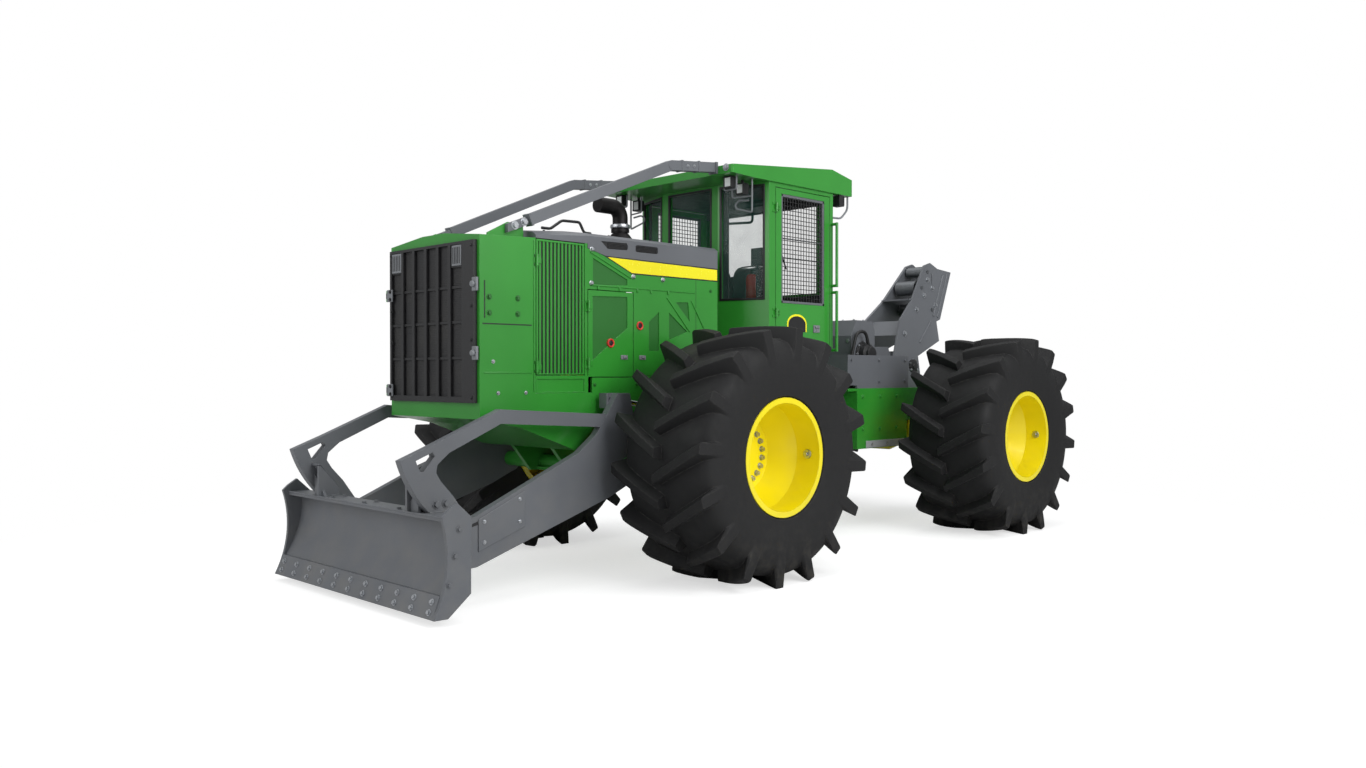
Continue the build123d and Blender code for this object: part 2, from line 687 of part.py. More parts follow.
def build_lift_cylinders():
    start = Vector(LIFT_X, LIFT_FRAME_Y, LIFT_FRAME_Z)
    end = Vector(LIFT_X, LIFT_EYE_Y, LIFT_EYE_Z)
    along = (end - start).normalized()

    def at(distance):
        point = start + along * distance
        return (point.X, point.Y, point.Z)

    def eye(point, radius, width):
        x, y, z = point
        return rod((x - width / 2, y, z), (x + width / 2, y, z), radius)

    barrel = rod(at(60), at(LIFT_BARREL_END), LIFT_BARREL_R) + eye(at(0), LIFT_EYE_R, LIFT_EYE_W)
    barrel += rod(at(0), at(65), LIFT_ROD_R)
    barrel -= eye(at(0), LIFT_PIN_R + FIT, LIFT_EYE_W + 10)
    barrel -= rod(at(80), at(LIFT_BARREL_END + 5), LIFT_ROD_R + FIT)
    length = (end - start).length
    piston = rod(at(length - LIFT_ROD_LENGTH), at(length), LIFT_ROD_R)
    piston += eye(at(length), LIFT_EYE_R, LIFT_EYE_W)
    for name, shape in (("lift_barrel", barrel), ("lift_rod", piston)):
        node(f"{name}_left", shape)
        node(f"{name}_right", mirrored(shape))


# Nose and engine housing

def build_nose():
    belly = (-1010.0, 966.0)
    chin = (-1500.0, 1148.0)
    outline = [
        # y, z
        (NOSE_FRONT_Y, NOSE_Z0),
        (NOSE_FRONT_Y, NOSE_TOP_FRONT),
        (NOSE_REAR_Y, NOSE_TOP_REAR),
        (NOSE_REAR_Y, SILL_Z),
        (BELLY_REAR_Y, SILL_Z),
        (BELLY_REAR_Y, 1107.0),
        belly,
        chin,
    ]
    wall = NOSE_WALL
    shell = side_plate(outline, -SIDE_X, SIDE_X)
    hollow = [
        (NOSE_FRONT_Y + wall, NOSE_Z0 + wall),
        (NOSE_FRONT_Y + wall, NOSE_TOP_FRONT - wall),
        (NOSE_REAR_Y + 5, NOSE_TOP_REAR - wall),
        (NOSE_REAR_Y + 5, SILL_Z + 50),
        (BELLY_REAR_Y + 5, SILL_Z + 50),
        (BELLY_REAR_Y + 5, 900.0),
        (belly[0], belly[1] + wall),
        (chin[0], chin[1] + wall),
    ]
    shell -= side_plate(hollow, -SIDE_X + wall, SIDE_X - wall)
    shell -= box(-GRILLE_HALF + 10, GRILLE_HALF - 10, NOSE_FRONT_Y - 5, NOSE_FRONT_Y + wall + 5,
                 GRILLE_Z0 + 10, GRILLE_Z1 - 10)
    crown = []
    for y, top in ((NOSE_FRONT_Y, NOSE_TOP_FRONT), (NOSE_REAR_Y, NOSE_TOP_REAR)):
        points = [(-SIDE_X, y, top), (SIDE_X, y, top), (CROWN_X, y, top + NOSE_CROWN),
                  (-CROWN_X, y, top + NOSE_CROWN)]
        crown.append(make_face(Polyline(*points, close=True).edges()))
    shell += loft(crown, ruled=True)
    gusset = [(-1700.0, NOSE_TOP_FRONT), (-1695.0, 2496.0), (-1527.0, GUSSET_TOP), (-1394.0, GUSSET_TOP + 5),
              (-1390.0, NOSE_TOP_FRONT)]
    for side in (1, -1):
        shell += side_plate(gusset, *sorted((side * GUSSET_X, side * (GUSSET_X + 12))))
    for z in GRILLE_HINGE_Z:
        shell += grille_hinge(z)[1]
    for z in LOUVRE_HINGE_Z:
        lug_half = side_hinge(LOUVRE_Y0, z)[1]
        shell += lug_half
        shell += mirrored(lug_half)
    node("nose_shell", shell)
    core = box(-500, 500, -1700, -1480, RAIL_TOP, 2400)
    node("radiator_core", core)


def grille_hinge(z):
    """One hinge at the right edge of the grille door."""
    y = NOSE_FRONT_Y - GRILLE_T / 2
    door_leaf = (GRILLE_HINGE_X, -GRILLE_HALF + 5, y - GRILLE_T / 2, y - 2)
    frame_leaf = (GRILLE_HINGE_X - 5, -SIDE_X + 2, y, NOSE_FRONT_Y + 20)
    return door_hinge(GRILLE_HINGE_X, y, z, door_leaf, frame_leaf)


def side_hinge(edge_y, z):
    """One hinge at the front edge of a left side door whose edge lies at edge_y."""
    x, y = SIDE_X + HINGE_OUT, edge_y - DOOR_GAP / 2
    door_leaf = (SIDE_X - 1, SIDE_X + 6, y, edge_y + 40)
    frame_leaf = (SIDE_X - 1, SIDE_X + 6, edge_y - DOOR_GAP - 18, y)
    return door_hinge(x, y, z, door_leaf, frame_leaf)


def build_grille():
    y0, y1 = NOSE_FRONT_Y - GRILLE_T, NOSE_FRONT_Y - 0.5
    grille = box(-GRILLE_HALF, GRILLE_HALF, y0, y1, GRILLE_Z0, GRILLE_Z1)
    far_edge, near_edge = -GRILLE_HALF + 25, GRILLE_HALF - 140
    z0, z1 = GRILLE_Z0 + 40, GRILLE_Z1 - 20
    grille -= box(far_edge, near_edge, y0 - 5, y1 + 5, z0, z1)
    for z in (1630.0, 1876.0, 2117.0):
        grille += box(far_edge - 5, near_edge + 5, y0 + 10, y1, z - 9, z + 9)
    for x in (-371.0, -219.0, -57.0, 99.0, 251.0):
        grille += box(x - 17, x + 17, y0, y1, z0 - 5, z1 + 5)
    for x0, x1 in ((far_edge - 5, -354.0), (270.0, near_edge + 5)):
        grille += box(x0, x1, y0 + 6, y1, GRILLE_Z1 - 175, z1 + 5)
    for z in GRILLE_HINGE_Z:
        grille += grille_hinge(z)[0]
    node("grille_door", grille)


def pressed(sheet, panel):
    """A left side sheet with its panel's outlines pressed into it."""
    for outline in RELIEFS[panel]:
        sheet -= side_plate(outline, SIDE_X - RELIEF_DEPTH, SIDE_X + 5)
    return sheet


def build_side_doors():
    louvre = box(SIDE_X - SHEET, SIDE_X, LOUVRE_Y0, LOUVRE_Y1, LOUVRE_Z0, LOUVRE_Z1)
    louvre -= box(SIDE_X - 10, SIDE_X + 5, LOUVRE_Y0 + 16, LOUVRE_Y1 - 16, LOUVRE_Z0 + 8, LOUVRE_Z1 - 14)
    ribs = 12
    pitch = (LOUVRE_Y1 - LOUVRE_Y0 - 36) / ribs
    for i in range(ribs):
        y = LOUVRE_Y0 + 18 + (i + 0.25) * pitch
        louvre += box(SIDE_X - 12, SIDE_X - 2, y, y + pitch * 0.5, LOUVRE_Z0 + 4, LOUVRE_Z1 - 10)
    engine = box(SIDE_X - SHEET, SIDE_X, ENGINE_DOOR_Y0, ENGINE_DOOR_Y1, ENGINE_DOOR_Z0, ENGINE_DOOR_Z1)
    engine = pressed(engine, "engine_door")
    for z in LOUVRE_HINGE_Z:
        louvre += side_hinge(LOUVRE_Y0, z)[0]
    for z in ENGINE_HINGE_Z:
        engine += side_hinge(ENGINE_DOOR_Y0, z)[0]
    for name, shape in (("louvre_door", louvre), ("engine_door", engine)):
        node(f"{name}_left", shape)
        node(f"{name}_right", mirrored(shape))


def build_side_panels():
    x0, x1 = SIDE_X - SHEET, SIDE_X
    gap = DOOR_GAP
    skirt_gap = 3.0
    under_skirt = [(y, z - skirt_gap) for y, z in SKIRT]
    top = [(ENGINE_DOOR_Y0 - gap, under_skirt[0][1])] + under_skirt
    upper = top + [(HOOD_REAR_Y, ENGINE_DOOR_Z1 + gap), (ENGINE_DOOR_Y0 - gap, ENGINE_DOOR_Z1 + gap)]
    side = side_plate(upper, x0, x1)
    side += box(x0, x1, LOUVRE_Y1 + gap, ENGINE_DOOR_Y0 - gap, SILL_Z, SIDE_TOP_Z)
    side += box(x0, x1, ENGINE_DOOR_Y1 + gap, HOOD_REAR_Y, NOSE_Z0, ENGINE_DOOR_Z1 + gap + 1)
    side += box(x0, x1, BELLY_REAR_Y + 0.5, HOOD_REAR_Y, NOSE_Z0, SEAM_Z - gap)
    side += box(x0, x1, NOSE_REAR_Y + 0.5, ENGINE_DOOR_Y0, SILL_Z + 0.5, LOUVRE_Z0 - gap)
    side -= box(x1 - RELIEF_DEPTH, x1 + 5, LOUVRE_Y0 + 8, LOUVRE_Y1, SILL_Z + 9, LOUVRE_Z0 - gap - 26)
    side = pressed(side, "side_panels")
    side += box(RAIL_X1, x1, 120, 160, NOSE_Z0, NOSE_Z0 + 46)
    side += box(RAIL_X1, x1, -700, -660, NOSE_Z0, NOSE_Z0 + 46)
    for z in ENGINE_HINGE_Z:
        side += side_hinge(ENGINE_DOOR_Y0, z)[1]
    node("side_panels", side, mirrored(side))


def build_hood():
    z = SIDE_TOP_Z + 0.3
    y0, y1 = NOSE_REAR_Y + 1, HOOD_REAR_Y
    wall = 20.0
    sections = []
    for y, drop in ((y0, HOOD_NOSE_DROP), (SKIRT[0][0], 0), (y1, 0)):
        shoulder, side, top = HOOD_SIDE_Z + 24 - drop, HOOD_SIDE_Z - drop, HOOD_TOP_Z - drop
        points = [(-SIDE_X, z), (SIDE_X, z), (SIDE_X, side), (540, shoulder), (300, top),
                  (-300, top), (-540, shoulder), (-SIDE_X, side)]
        sections.append(make_face(Polyline(*[(x, y, height) for x, height in points], close=True).edges()))
    side, top = HOOD_SIDE_Z - HOOD_NOSE_DROP - 5, HOOD_TOP_Z - HOOD_NOSE_DROP - wall
    inner = [(-SIDE_X + wall, z - 5), (SIDE_X - wall, z - 5), (SIDE_X - wall, side),
             (300, top), (-300, top), (-SIDE_X + wall, side)]
    hood = loft(sections, ruled=True) - cross_plate(inner, y0 + wall, y1 - wall)
    skirt = side_plate(list(SKIRT) + [(HOOD_REAR_Y, z + 5), (SKIRT[0][0], z + 5)], SIDE_X - wall, SIDE_X)
    for vent in VENTS:
        pocket = side_plate(vent, SIDE_X - 8, SIDE_X + 5)
        hood -= pocket
        hood -= mirrored(pocket)
        skirt -= pocket
    hood += skirt
    hood += mirrored(skirt)
    node("hood_top", hood)
    engine = box(-RAIL_X0 + 0.3, RAIL_X0 - 0.3, -1150, -50, 1150, 2150)
    node("engine_block", engine)


def build_exhaust():
    x, y = 125.0, -170.0
    radius = 62.0
    base_z = HOOD_TOP_Z + 0.3
    bend_r = 90.0
    top_z = 2868.0
    stack = rod((x, y, base_z), (x, y, top_z - bend_r), radius)
    stack += Pos(x, y, base_z) * Cone(radius + 52, radius + 8, 60, align=(Align.CENTER, Align.CENTER, Align.MIN))
    stack += rod((x, y, base_z + 72), (x, y, base_z + 98), radius + 12)
    elbow_path = Plane(origin=(x, y, top_z - bend_r), x_dir=(0, -1, 0), z_dir=(-1, 0, 0)) * CenterArc(
        (bend_r, 0), bend_r, 180, -90)
    section = Plane(origin=(x, y, top_z - bend_r), z_dir=(0, 0, 1)) * Circle(radius)
    stack += sweep(section, path=elbow_path)
    stack += rod((x, y - bend_r, top_z), (x, y - bend_r - 150, top_z), radius)
    node("exhaust_pipe", stack)


def build_brush_rails():
    width, height = BRUSH_RAIL_W, BRUSH_RAIL_H
    low = (RAIL_LOW_X, -1362.0, 2612.0)
    bend = (600.0, -72.0, 3157.0)
    top = (600.0, ROOF_FRONT_Y - 20.0, 3208.0)
    rail = beam(low, bend, width, height) + beam(bend, top, width, height)
    rail += rod((bend[0] - width / 2, *bend[1:]), (bend[0] + width / 2, *bend[1:]), height / 2)
    rail += box(556, 644, ROOF_FRONT_Y - 22, ROOF_FRONT_Y - 0.3, 3156, 3250)
    # the lug that is bolted to the nose's gusset, and the collar above it
    lug = [(-1550.0, 2506.0), (-1340.0, 2588.0), (-1340.0, 2650.0), (-1550.0, 2566.0)]
    rail += side_plate(lug, RAIL_LOW_X - width / 2, RAIL_LOW_X + 4)
    rail += beam((RAIL_LOW_X, -1378.0, 2605.0), low, width + 10, height + 10)
    node("brush_rails", rail, mirrored(rail))


# Cab

def cab_plan(inset):
    """The cab's plan as (x, y), moved inwards by a wall."""
    slope = math.atan2(CAB_CORNER_Y - CAB_FRONT_Y, CAB_HALF - CAB_FRONT_HALF)
    shift = inset * math.tan(math.pi / 4 - (math.pi / 2 - slope) / 2)
    front_x = CAB_FRONT_HALF - inset * math.tan(slope / 2)
    corner_y = CAB_CORNER_Y + shift
    right = [
        (front_x, CAB_FRONT_Y + inset),
        (CAB_HALF - inset, corner_y),
        (CAB_HALF - inset, CAB_REAR_Y - inset),
    ]
    left = [(-x, y) for x, y in reversed(right)]
    return right + left


def window_block(x0, x1, z0, z1, plane_origin, along):
    """A cutting block in the cab wall that starts at plane_origin and runs along a direction."""
    plane = Plane(origin=plane_origin, x_dir=along, z_dir=(0, 0, 1))
    block = Pos((x0 + x1) / 2, 0, (z0 + z1) / 2) * Box(x1 - x0, 4 * CAB_WALL, z1 - z0)
    return plane * block


def pane(x0, x1, z0, z1, plane_origin, along):
    """A pane in the middle of the cab wall, a fit smaller than its window."""
    plane = Plane(origin=plane_origin, x_dir=along, z_dir=(0, 0, 1))
    block = Box(x1 - x0 - 2 * FIT, GLASS_T, z1 - z0 - 2 * FIT)
    return plane * (Pos((x0 + x1) / 2, CAB_WALL / 2, (z0 + z1) / 2) * block)


def cab_windows():
    """Every fixed window: x0, x1, z0, z1 along its wall, the wall's start and its direction."""
    run = Vector(CAB_HALF - CAB_FRONT_HALF, CAB_CORNER_Y - CAB_FRONT_Y, 0)
    length = run.length
    along = run.normalized()
    z1 = 3108.0
    front_z0, side_z0 = 2600.0, 2160.0
    post = 85.0
    near, far = 30.0, 50.0
    rear_half = 620.0
    windows = [
        (-CAB_FRONT_HALF + post, CAB_FRONT_HALF - post, front_z0, z1, (0, CAB_FRONT_Y, 0), (1, 0, 0)),
        (near, length - far, side_z0, z1, (CAB_FRONT_HALF, CAB_FRONT_Y, 0), tuple(along)),
        (far, length - near, side_z0, z1, (-CAB_HALF, CAB_CORNER_Y, 0), (along.X, -along.Y, 0)),
        (-rear_half, rear_half, 2250.0, 3050.0, (0, CAB_REAR_Y, 0), (-1, 0, 0)),
    ]
    return windows


def cab_hinge(z):
    """One hinge at the front edge of the left cab door."""
    x, y = CAB_HALF + HINGE_OUT, DOOR_Y0 + DOOR_GAP / 2
    door_leaf = (CAB_HALF - 1, CAB_HALF + 6, y, DOOR_Y0 + DOOR_GAP + 50)
    frame_leaf = (CAB_HALF - 1, CAB_HALF + 6, DOOR_Y0 - 35, y)
    return door_hinge(x, y, z, door_leaf, frame_leaf)


def build_cab():
    shell = flat_plate(cab_plan(0), CAB_Z0, CAB_Z1)
    shell -= flat_plate(cab_plan(CAB_WALL), CAB_Z0 + CAB_WALL, CAB_Z1 + 5)
    panes = []
    for window in cab_windows():
        shell -= window_block(*window)
        panes.append(pane(*window))
    shell -= box(-CAB_HALF - 50, CAB_HALF + 50, DOOR_Y0, DOOR_Y1, DOOR_Z0, DOOR_Z1)
    rails = []
    x, y, radius = CAB_HALF + 60.0, CAB_REAR_Y - 22.0, 13.0
    for z0, z1 in ((1735.0, 2250.0), (2310.0, 2860.0)):
        bar = rod((x, y, z0 - radius), (x, y, z1 + radius), radius)
        for z in (z0, z1):
            bar += rod((CAB_HALF - 5, y, z), (x, y, z), radius)
        rails.append(bar)
    for bar in rails:
        shell += bar
        shell += mirrored(bar)
    for z in CAB_HINGE_Z:
        lug_half = cab_hinge(z)[1]
        shell += lug_half
        shell += mirrored(lug_half)
    node("cab_shell", shell)
    node("cab_glass", *panes)
    # door with its window
    door = box(CAB_HALF - CAB_WALL, CAB_HALF, DOOR_Y0 + DOOR_GAP, DOOR_Y1 - DOOR_GAP,
               DOOR_Z0 + DOOR_GAP, DOOR_Z1 - DOOR_GAP)
    door -= box(CAB_HALF - CAB_WALL - 5, CAB_HALF + 5, DOOR_Y0 + 81, DOOR_Y1 - 79,
                DOOR_WINDOW_Z0, DOOR_WINDOW_Z1)
    for z in CAB_HINGE_Z:
        door += cab_hinge(z)[0]
    node("cab_door_left", door)
    node("cab_door_right", mirrored(door))


def build_roof():
    plan = [
        # x, y
        (ROOF_HALF - 12, ROOF_FRONT_Y),
        (ROOF_HALF, ROOF_FRONT_Y + 12),
        (ROOF_HALF, 2060.0),
        (-ROOF_HALF, 2060.0),
        (-ROOF_HALF, ROOF_FRONT_Y + 12),
        (-ROOF_HALF + 12, ROOF_FRONT_Y),
    ]
    profile = [
        # y, z
        (ROOF_FRONT_Y, ROOF_EDGE_Z),
        (ROOF_FRONT_Y, 3218.0),
        (1765.0, 3348.0),
        (2060.0, 3290.0),
        (2060.0, CAB_Z1 + 0.3),
        (700.0, CAB_Z1 + 0.3),
    ]
    roof = flat_plate(plan, CAB_Z1 - 50, 3400) & side_plate(profile, -900, 900)
    node("cab_roof", roof)


def build_interior():
    floor = CAB_Z0 + CAB_WALL
    front = SEAT_FRONT_Y
    seat = box(-230, 230, front, front + 450, floor + 300, floor + 420)
    back = [(front + 310, floor + 400), (front + 450, floor + 400), (front + 550, floor + 1050),
            (front + 440, floor + 1050)]
    seat += side_plate(back, -220, 220)
    seat += box(-160, 160, front + 50, front + 390, floor, floor + 310)
    console = box(-180, 180, CAB_FRONT_Y + 60, CAB_FRONT_Y + 180, floor, floor + 620)
    node("cab_interior", seat, console)


def build_lamps():
    lamps = []
    for side in (1, -1):
        for x, y, z in LAMPS:
            lamp = box(side * x - 42, side * x + 42, y - 31, y + 31, z, z + 94)
            ceiling = roof_underside(y + 12)
            lamps.append(lamp + rod((side * x, y, z + 88), (side * x, y, ceiling), 12))
    node("work_lamps", *lamps)


def roof_underside(y):
    """Height of the roof's sloping lower face in front of the cab."""
    front_y, front_z = ROOF_FRONT_Y, ROOF_EDGE_Z
    back_y, back_z = 700.0, CAB_Z1 + 0.3
    share = min(max((y - front_y) / (back_y - front_y), 0.0), 1.0)
    return front_z + (back_z - front_z) * share - 0.3


# Rear frame

def build_rear_frame():
    frame = box(-REAR_HALF, REAR_HALF, REAR_BOX_Y0, REAR_BOX_Y1, REAR_BOX_Z0, REAR_BOX_Z1)
    frame -= Pos(0, WHEELBASE, 0) * box(-REAR_HALF - 5, REAR_HALF + 5, -205, 205,
                                        REAR_BOX_Z0 - 5, AXLE_Z + 200.5)
    frame -= box(-125, 125, WHEELBASE - 345, WHEELBASE - 200, REAR_BOX_Z0 - 5, AXLE_Z + 125)
    pad = box(-460, -340, WHEELBASE - 200, WHEELBASE + 200, AXLE_Z + AXLE_SEAT, AXLE_Z + 205)
    frame += pad + mirrored(pad)
    neck_y = PIVOT_Y + 200.0
    neck = [
        # x, y
        (-170.0, neck_y),
        (170.0, neck_y),
        (230.0, neck_y + 250.0),
        (230.0, REAR_BOX_Y0 + 5),
        (-230.0, REAR_BOX_Y0 + 5),
        (-230.0, neck_y + 250.0),
    ]
    step = HINGE_LUG_T + 0.5
    z_low = NECK_Z0 - 40.0
    z_high = NECK_Z1 + 40.0
    frame += flat_plate(neck, z_low, z_high)
    for z0, z1 in ((NECK_Z1 - step - 39.5, NECK_Z1 - step), (NECK_Z1 + 0.5, z_high),
                   (z_low, NECK_Z0 - 0.5), (NECK_Z0 + step, NECK_Z0 + step + 39.5)):
        frame += lug(z0, z1, neck_y + 5)
    for z0, z1 in ((NECK_Z1 - step - 50, z_high + 12), (z_low - 12, NECK_Z0 + step + 50)):
        frame += rod((0, PIVOT_Y, z0), (0, PIVOT_Y, z1), PIVOT_PIN_R)
    for side in (-1, 1):
        x_in, x_out = sorted((side * 225.0, side * (STEER_X + 55)))
        frame += steer_ears(x_in, x_out, STEER_REAR_Y - 60, STEER_REAR_Y + 140)
    node("rear_frame", frame)


def build_winch():
    top = REAR_BOX_Z1
    x0, x1 = REAR_HALF - 30, REAR_HALF
    foot = 1410.0
    guard = box(x0, x1, GUARD_Y0, GUARD_Y1, foot, GUARD_TOP) + box(x0, x1, REAR_BOX_Y0, GUARD_Y1, top, foot + 10)
    guard += mirrored(guard)
    guard += box(-x1, x1, GUARD_Y0, GUARD_Y0 + 25, foot, GUARD_TOP)
    node("winch_guard", guard)
    housing_outline = [
        # y, z
        (DRUM_Y - 630, top),
        (DRUM_Y - 630, 1900.0),
        (DRUM_Y - 550, 2050.0),
        (DRUM_Y - 270, 2050.0),
        (DRUM_Y - 230, 1960.0),
        (DRUM_Y - 230, top),
    ]
    housing = side_plate(housing_outline, -330, 330)
    for side in (-1, 1):
        cheek = side_plate([(DRUM_Y - 235, top), (DRUM_Y - 235, DRUM_Z + 210), (DRUM_Y + 70, DRUM_Z + 210),
                            (DRUM_Y + 120, DRUM_Z + 110), (DRUM_Y + 120, top)], 255, 290)
        housing += cheek if side > 0 else mirrored(cheek)
    housing -= rod((-300, DRUM_Y, DRUM_Z), (300, DRUM_Y, DRUM_Z), 60 + FIT)
    node("winch_housing", housing)
    drum = rod((-254, DRUM_Y, DRUM_Z), (254, DRUM_Y, DRUM_Z), 130)
    for x in (-254, 234):
        drum += rod((x, DRUM_Y, DRUM_Z), (x + 20, DRUM_Y, DRUM_Z), 205)
    drum += rod((-289, DRUM_Y, DRUM_Z), (289, DRUM_Y, DRUM_Z), 60)
    node("winch_drum", drum)


def arch_plane(side):
    """The tilted plane of one arch side plate: local x runs back, local y up the plate."""
    tilt = math.radians(ARCH_TILT)
    return Plane(origin=(side * ARCH_BASE_X, 0, ARCH_BASE_Z), x_dir=(0, 1, 0),
                 z_dir=(math.cos(tilt), 0, side * math.sin(tilt)))


def arch_point(y, z):
    """A point of the side plate's outline, given at its true height, in the plate's plane."""
    return (y, (z - ARCH_BASE_Z) / math.cos(math.radians(ARCH_TILT)))


def build_arch():
    outline = [
        # y behind the rear axle, z
        (-152.0, 1300.0),
        (-132.0, 1710.0),
        (76.0, 2096.0),
        (365.0, 2329.0),
        (711.0, 2728.0),
        (834.0, 2763.0),
        (972.0, 2705.0),
        (REAR_TIP_Y - WHEELBASE, 2682.0),
        (870.0, 2127.0),
        (789.0, 2102.0),
        (786.0, 1887.0),
        (316.0, 1713.0),
        (298.0, 1300.0),
    ]
    slot = [(820.0, 2640.0), (834.0, 2640.0), (803.0, 2455.0), (789.0, 2455.0)]
    points = [arch_point(WHEELBASE + y, z) for y, z in outline]
    slot_points = [arch_point(WHEELBASE + y, z) for y, z in slot]
    arch = None
    for side in (1, -1):
        face = make_face(Polyline(*points, close=True).edges()) - make_face(
            Polyline(*slot_points, close=True).edges())
        plate = arch_plane(side) * extrude(face, amount=-side * ARCH_T)
        arch = plate if arch is None else arch + plate
    for y, z, half, end, radius in ROLLERS.values():
        arch -= rod((-end - 50, y, z), (end + 50, y, z), ROLLER_PIN_R + FIT)
    arch -= box(-600, 600, WHEELBASE - 600, WHEELBASE + 1400, 1000, REAR_BOX_Z1)
    for half, corners in (
            (250, [(-72, REAR_BOX_Z1), (-32, REAR_BOX_Z1), (-32, 1760), (-72, 1760)]),
            (215, [(20, 1930), (50, 1930), (210, 2090), (180, 2090)]),
            (180, [(330, 2318), (560, 2340), (560, 2356), (330, 2334)])):
        arch += side_plate([(WHEELBASE + y, z) for y, z in corners], -half, half)
    node("arch", arch)
    butt = box(-560, 560, REAR_BOX_Y1 + 0.3, REAR_BOX_Y1 + 30, REAR_BOX_Z0, 1500)
    node("butt_plate", butt)


def build_fairlead():
    for name, (y, z, half, end, radius) in ROLLERS.items():
        roller = rod((-half, y, z), (half, y, z), radius)
        node(name, roller + rod((-end, y, z), (end, y, z), ROLLER_PIN_R))


def build_hitch():
    y0 = REAR_BOX_Y1 + 30.3
    half, reach, thick = 90.0, 150.0, 30.0
    z0, z1 = 860.0, 1010.0
    plate = box(-half, half, y0, y0 + 25, z0, z1)
    for z in (z0, z1 - thick):
        plate += box(-half, half, y0, y0 + reach, z, z + thick)
        plate -= Pos(0, y0 + 90, z + thick / 2) * Cylinder(HITCH_PIN_R, thick + 10)
    node("rear_hitch", plate)


def write_nodes():
    os.makedirs("parts", exist_ok=True)
    for name, solids in NODES.items():
        placed = [Pos(0, -ORIGIN_Y, -GROUND_Z) * solid for solid in solids]
        shape = placed[0] if len(placed) == 1 else Compound(placed)
        export_step(shape, f"parts/{name}.step")


def main():
    build_wheels()
    build_axles()
    build_front_frame()
    build_steering_cylinders()
    build_blade()
    build_push_arms()
    build_deflector_bars()
    build_lift_cylinders()
    build_nose()
    build_grille()
    build_side_doors()
    build_side_panels()
    build_hood()
    build_exhaust()
    build_brush_rails()
    build_cab()
    build_roof()
    build_interior()
    build_lamps()
    build_rear_frame()
    build_winch()
    build_arch()
    build_fairlead()
    build_hitch()
    write_nodes()


main()
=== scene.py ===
"""Look of an articulated cable skidder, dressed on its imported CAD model.

Metres in the CAD frame: +Z is up, the machine faces -Y and +X is its left side. Places are written
as in the part's source, from the front axle and from a level 0.92 m under it, and at() moves them
into the frame.
"""

import json
import logging
import math
from dataclasses import dataclass
from enum import Enum
from itertools import product
from typing import Callable, ClassVar, Iterable, Sequence

import bmesh
import bpy
from mathutils import Matrix, Vector

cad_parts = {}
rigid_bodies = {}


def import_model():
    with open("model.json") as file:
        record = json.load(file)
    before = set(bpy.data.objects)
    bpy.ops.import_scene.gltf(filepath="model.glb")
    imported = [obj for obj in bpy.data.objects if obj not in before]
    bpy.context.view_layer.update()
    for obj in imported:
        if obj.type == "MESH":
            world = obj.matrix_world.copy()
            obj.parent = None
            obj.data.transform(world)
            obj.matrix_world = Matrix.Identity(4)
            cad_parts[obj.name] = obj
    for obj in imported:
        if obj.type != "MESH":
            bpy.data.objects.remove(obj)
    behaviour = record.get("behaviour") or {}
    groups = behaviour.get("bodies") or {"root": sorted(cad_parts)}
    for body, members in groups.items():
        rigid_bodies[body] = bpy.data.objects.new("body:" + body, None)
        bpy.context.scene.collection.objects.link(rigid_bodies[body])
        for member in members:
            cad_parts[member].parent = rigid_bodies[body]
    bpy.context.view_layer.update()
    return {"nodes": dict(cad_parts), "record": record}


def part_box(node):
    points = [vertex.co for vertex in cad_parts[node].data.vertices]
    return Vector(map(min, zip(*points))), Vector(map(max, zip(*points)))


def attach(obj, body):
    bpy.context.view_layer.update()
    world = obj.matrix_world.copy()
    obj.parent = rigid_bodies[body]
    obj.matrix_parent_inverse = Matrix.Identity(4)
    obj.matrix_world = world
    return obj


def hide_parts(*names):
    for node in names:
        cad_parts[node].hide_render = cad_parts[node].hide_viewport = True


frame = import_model()
AXLE_LEVEL = 0.92
AXLE = sum(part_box("rim_front_left"), Vector()) / 2
LOG = logging.getLogger("skidder")
SIDES = (("left", 1), ("right", -1))
Colour = tuple[float, float, float, float]
Places = list[tuple[Vector, Sequence[float]]]
LEFT = (1, 0, 0)
UP = (0, 0, 1)
BEVEL_SEGMENTS = 2
BEVEL_ANGLE = math.radians(40)


def at(x: float, y: float, z: float) -> Vector:
    """A point measured as in the part's source, in the CAD frame."""
    return Vector((x, y + AXLE.y, z + AXLE.z - AXLE_LEVEL))


def colour(code: str) -> Colour:
    """A colour written as six hex digits, in linear values."""
    parts = [int(code[i:i + 2], 16) / 255 for i in (0, 2, 4)]
    red, green, blue = (p / 12.92 if p <= 0.04045 else ((p + 0.055) / 1.055) ** 2.4 for p in parts)
    return (red, green, blue, 1.0)


def tint(shade: Colour, factor: float, lift: float = 0.0) -> Colour:
    """A colour made darker or paler, with no part above one."""
    red, green, blue = (min(1.0, part * factor + lift) for part in shade[:3])
    return (red, green, blue, 1.0)


def circle(radius: float, count: int, shift: float = 0.0) -> list[tuple[float, float]]:
    """Even points on a circle.

    Args:
        radius: its radius.
        count: how many points it has.
        shift: how far the first one is turned on, as a share of the gap between two.

    Returns:
        The (sine, cosine) offsets from its centre.
    """
    turns = (2 * math.pi * (i + shift) / count for i in range(count))
    return [(radius * math.sin(turn), radius * math.cos(turn)) for turn in turns]


def on_side(x: float, points: Iterable[tuple[float, float]]) -> Places:
    """Bolt places on a face that looks to the left, at the given (y, z) points."""
    return [(at(x, y, z), LEFT) for y, z in points]


# Materials

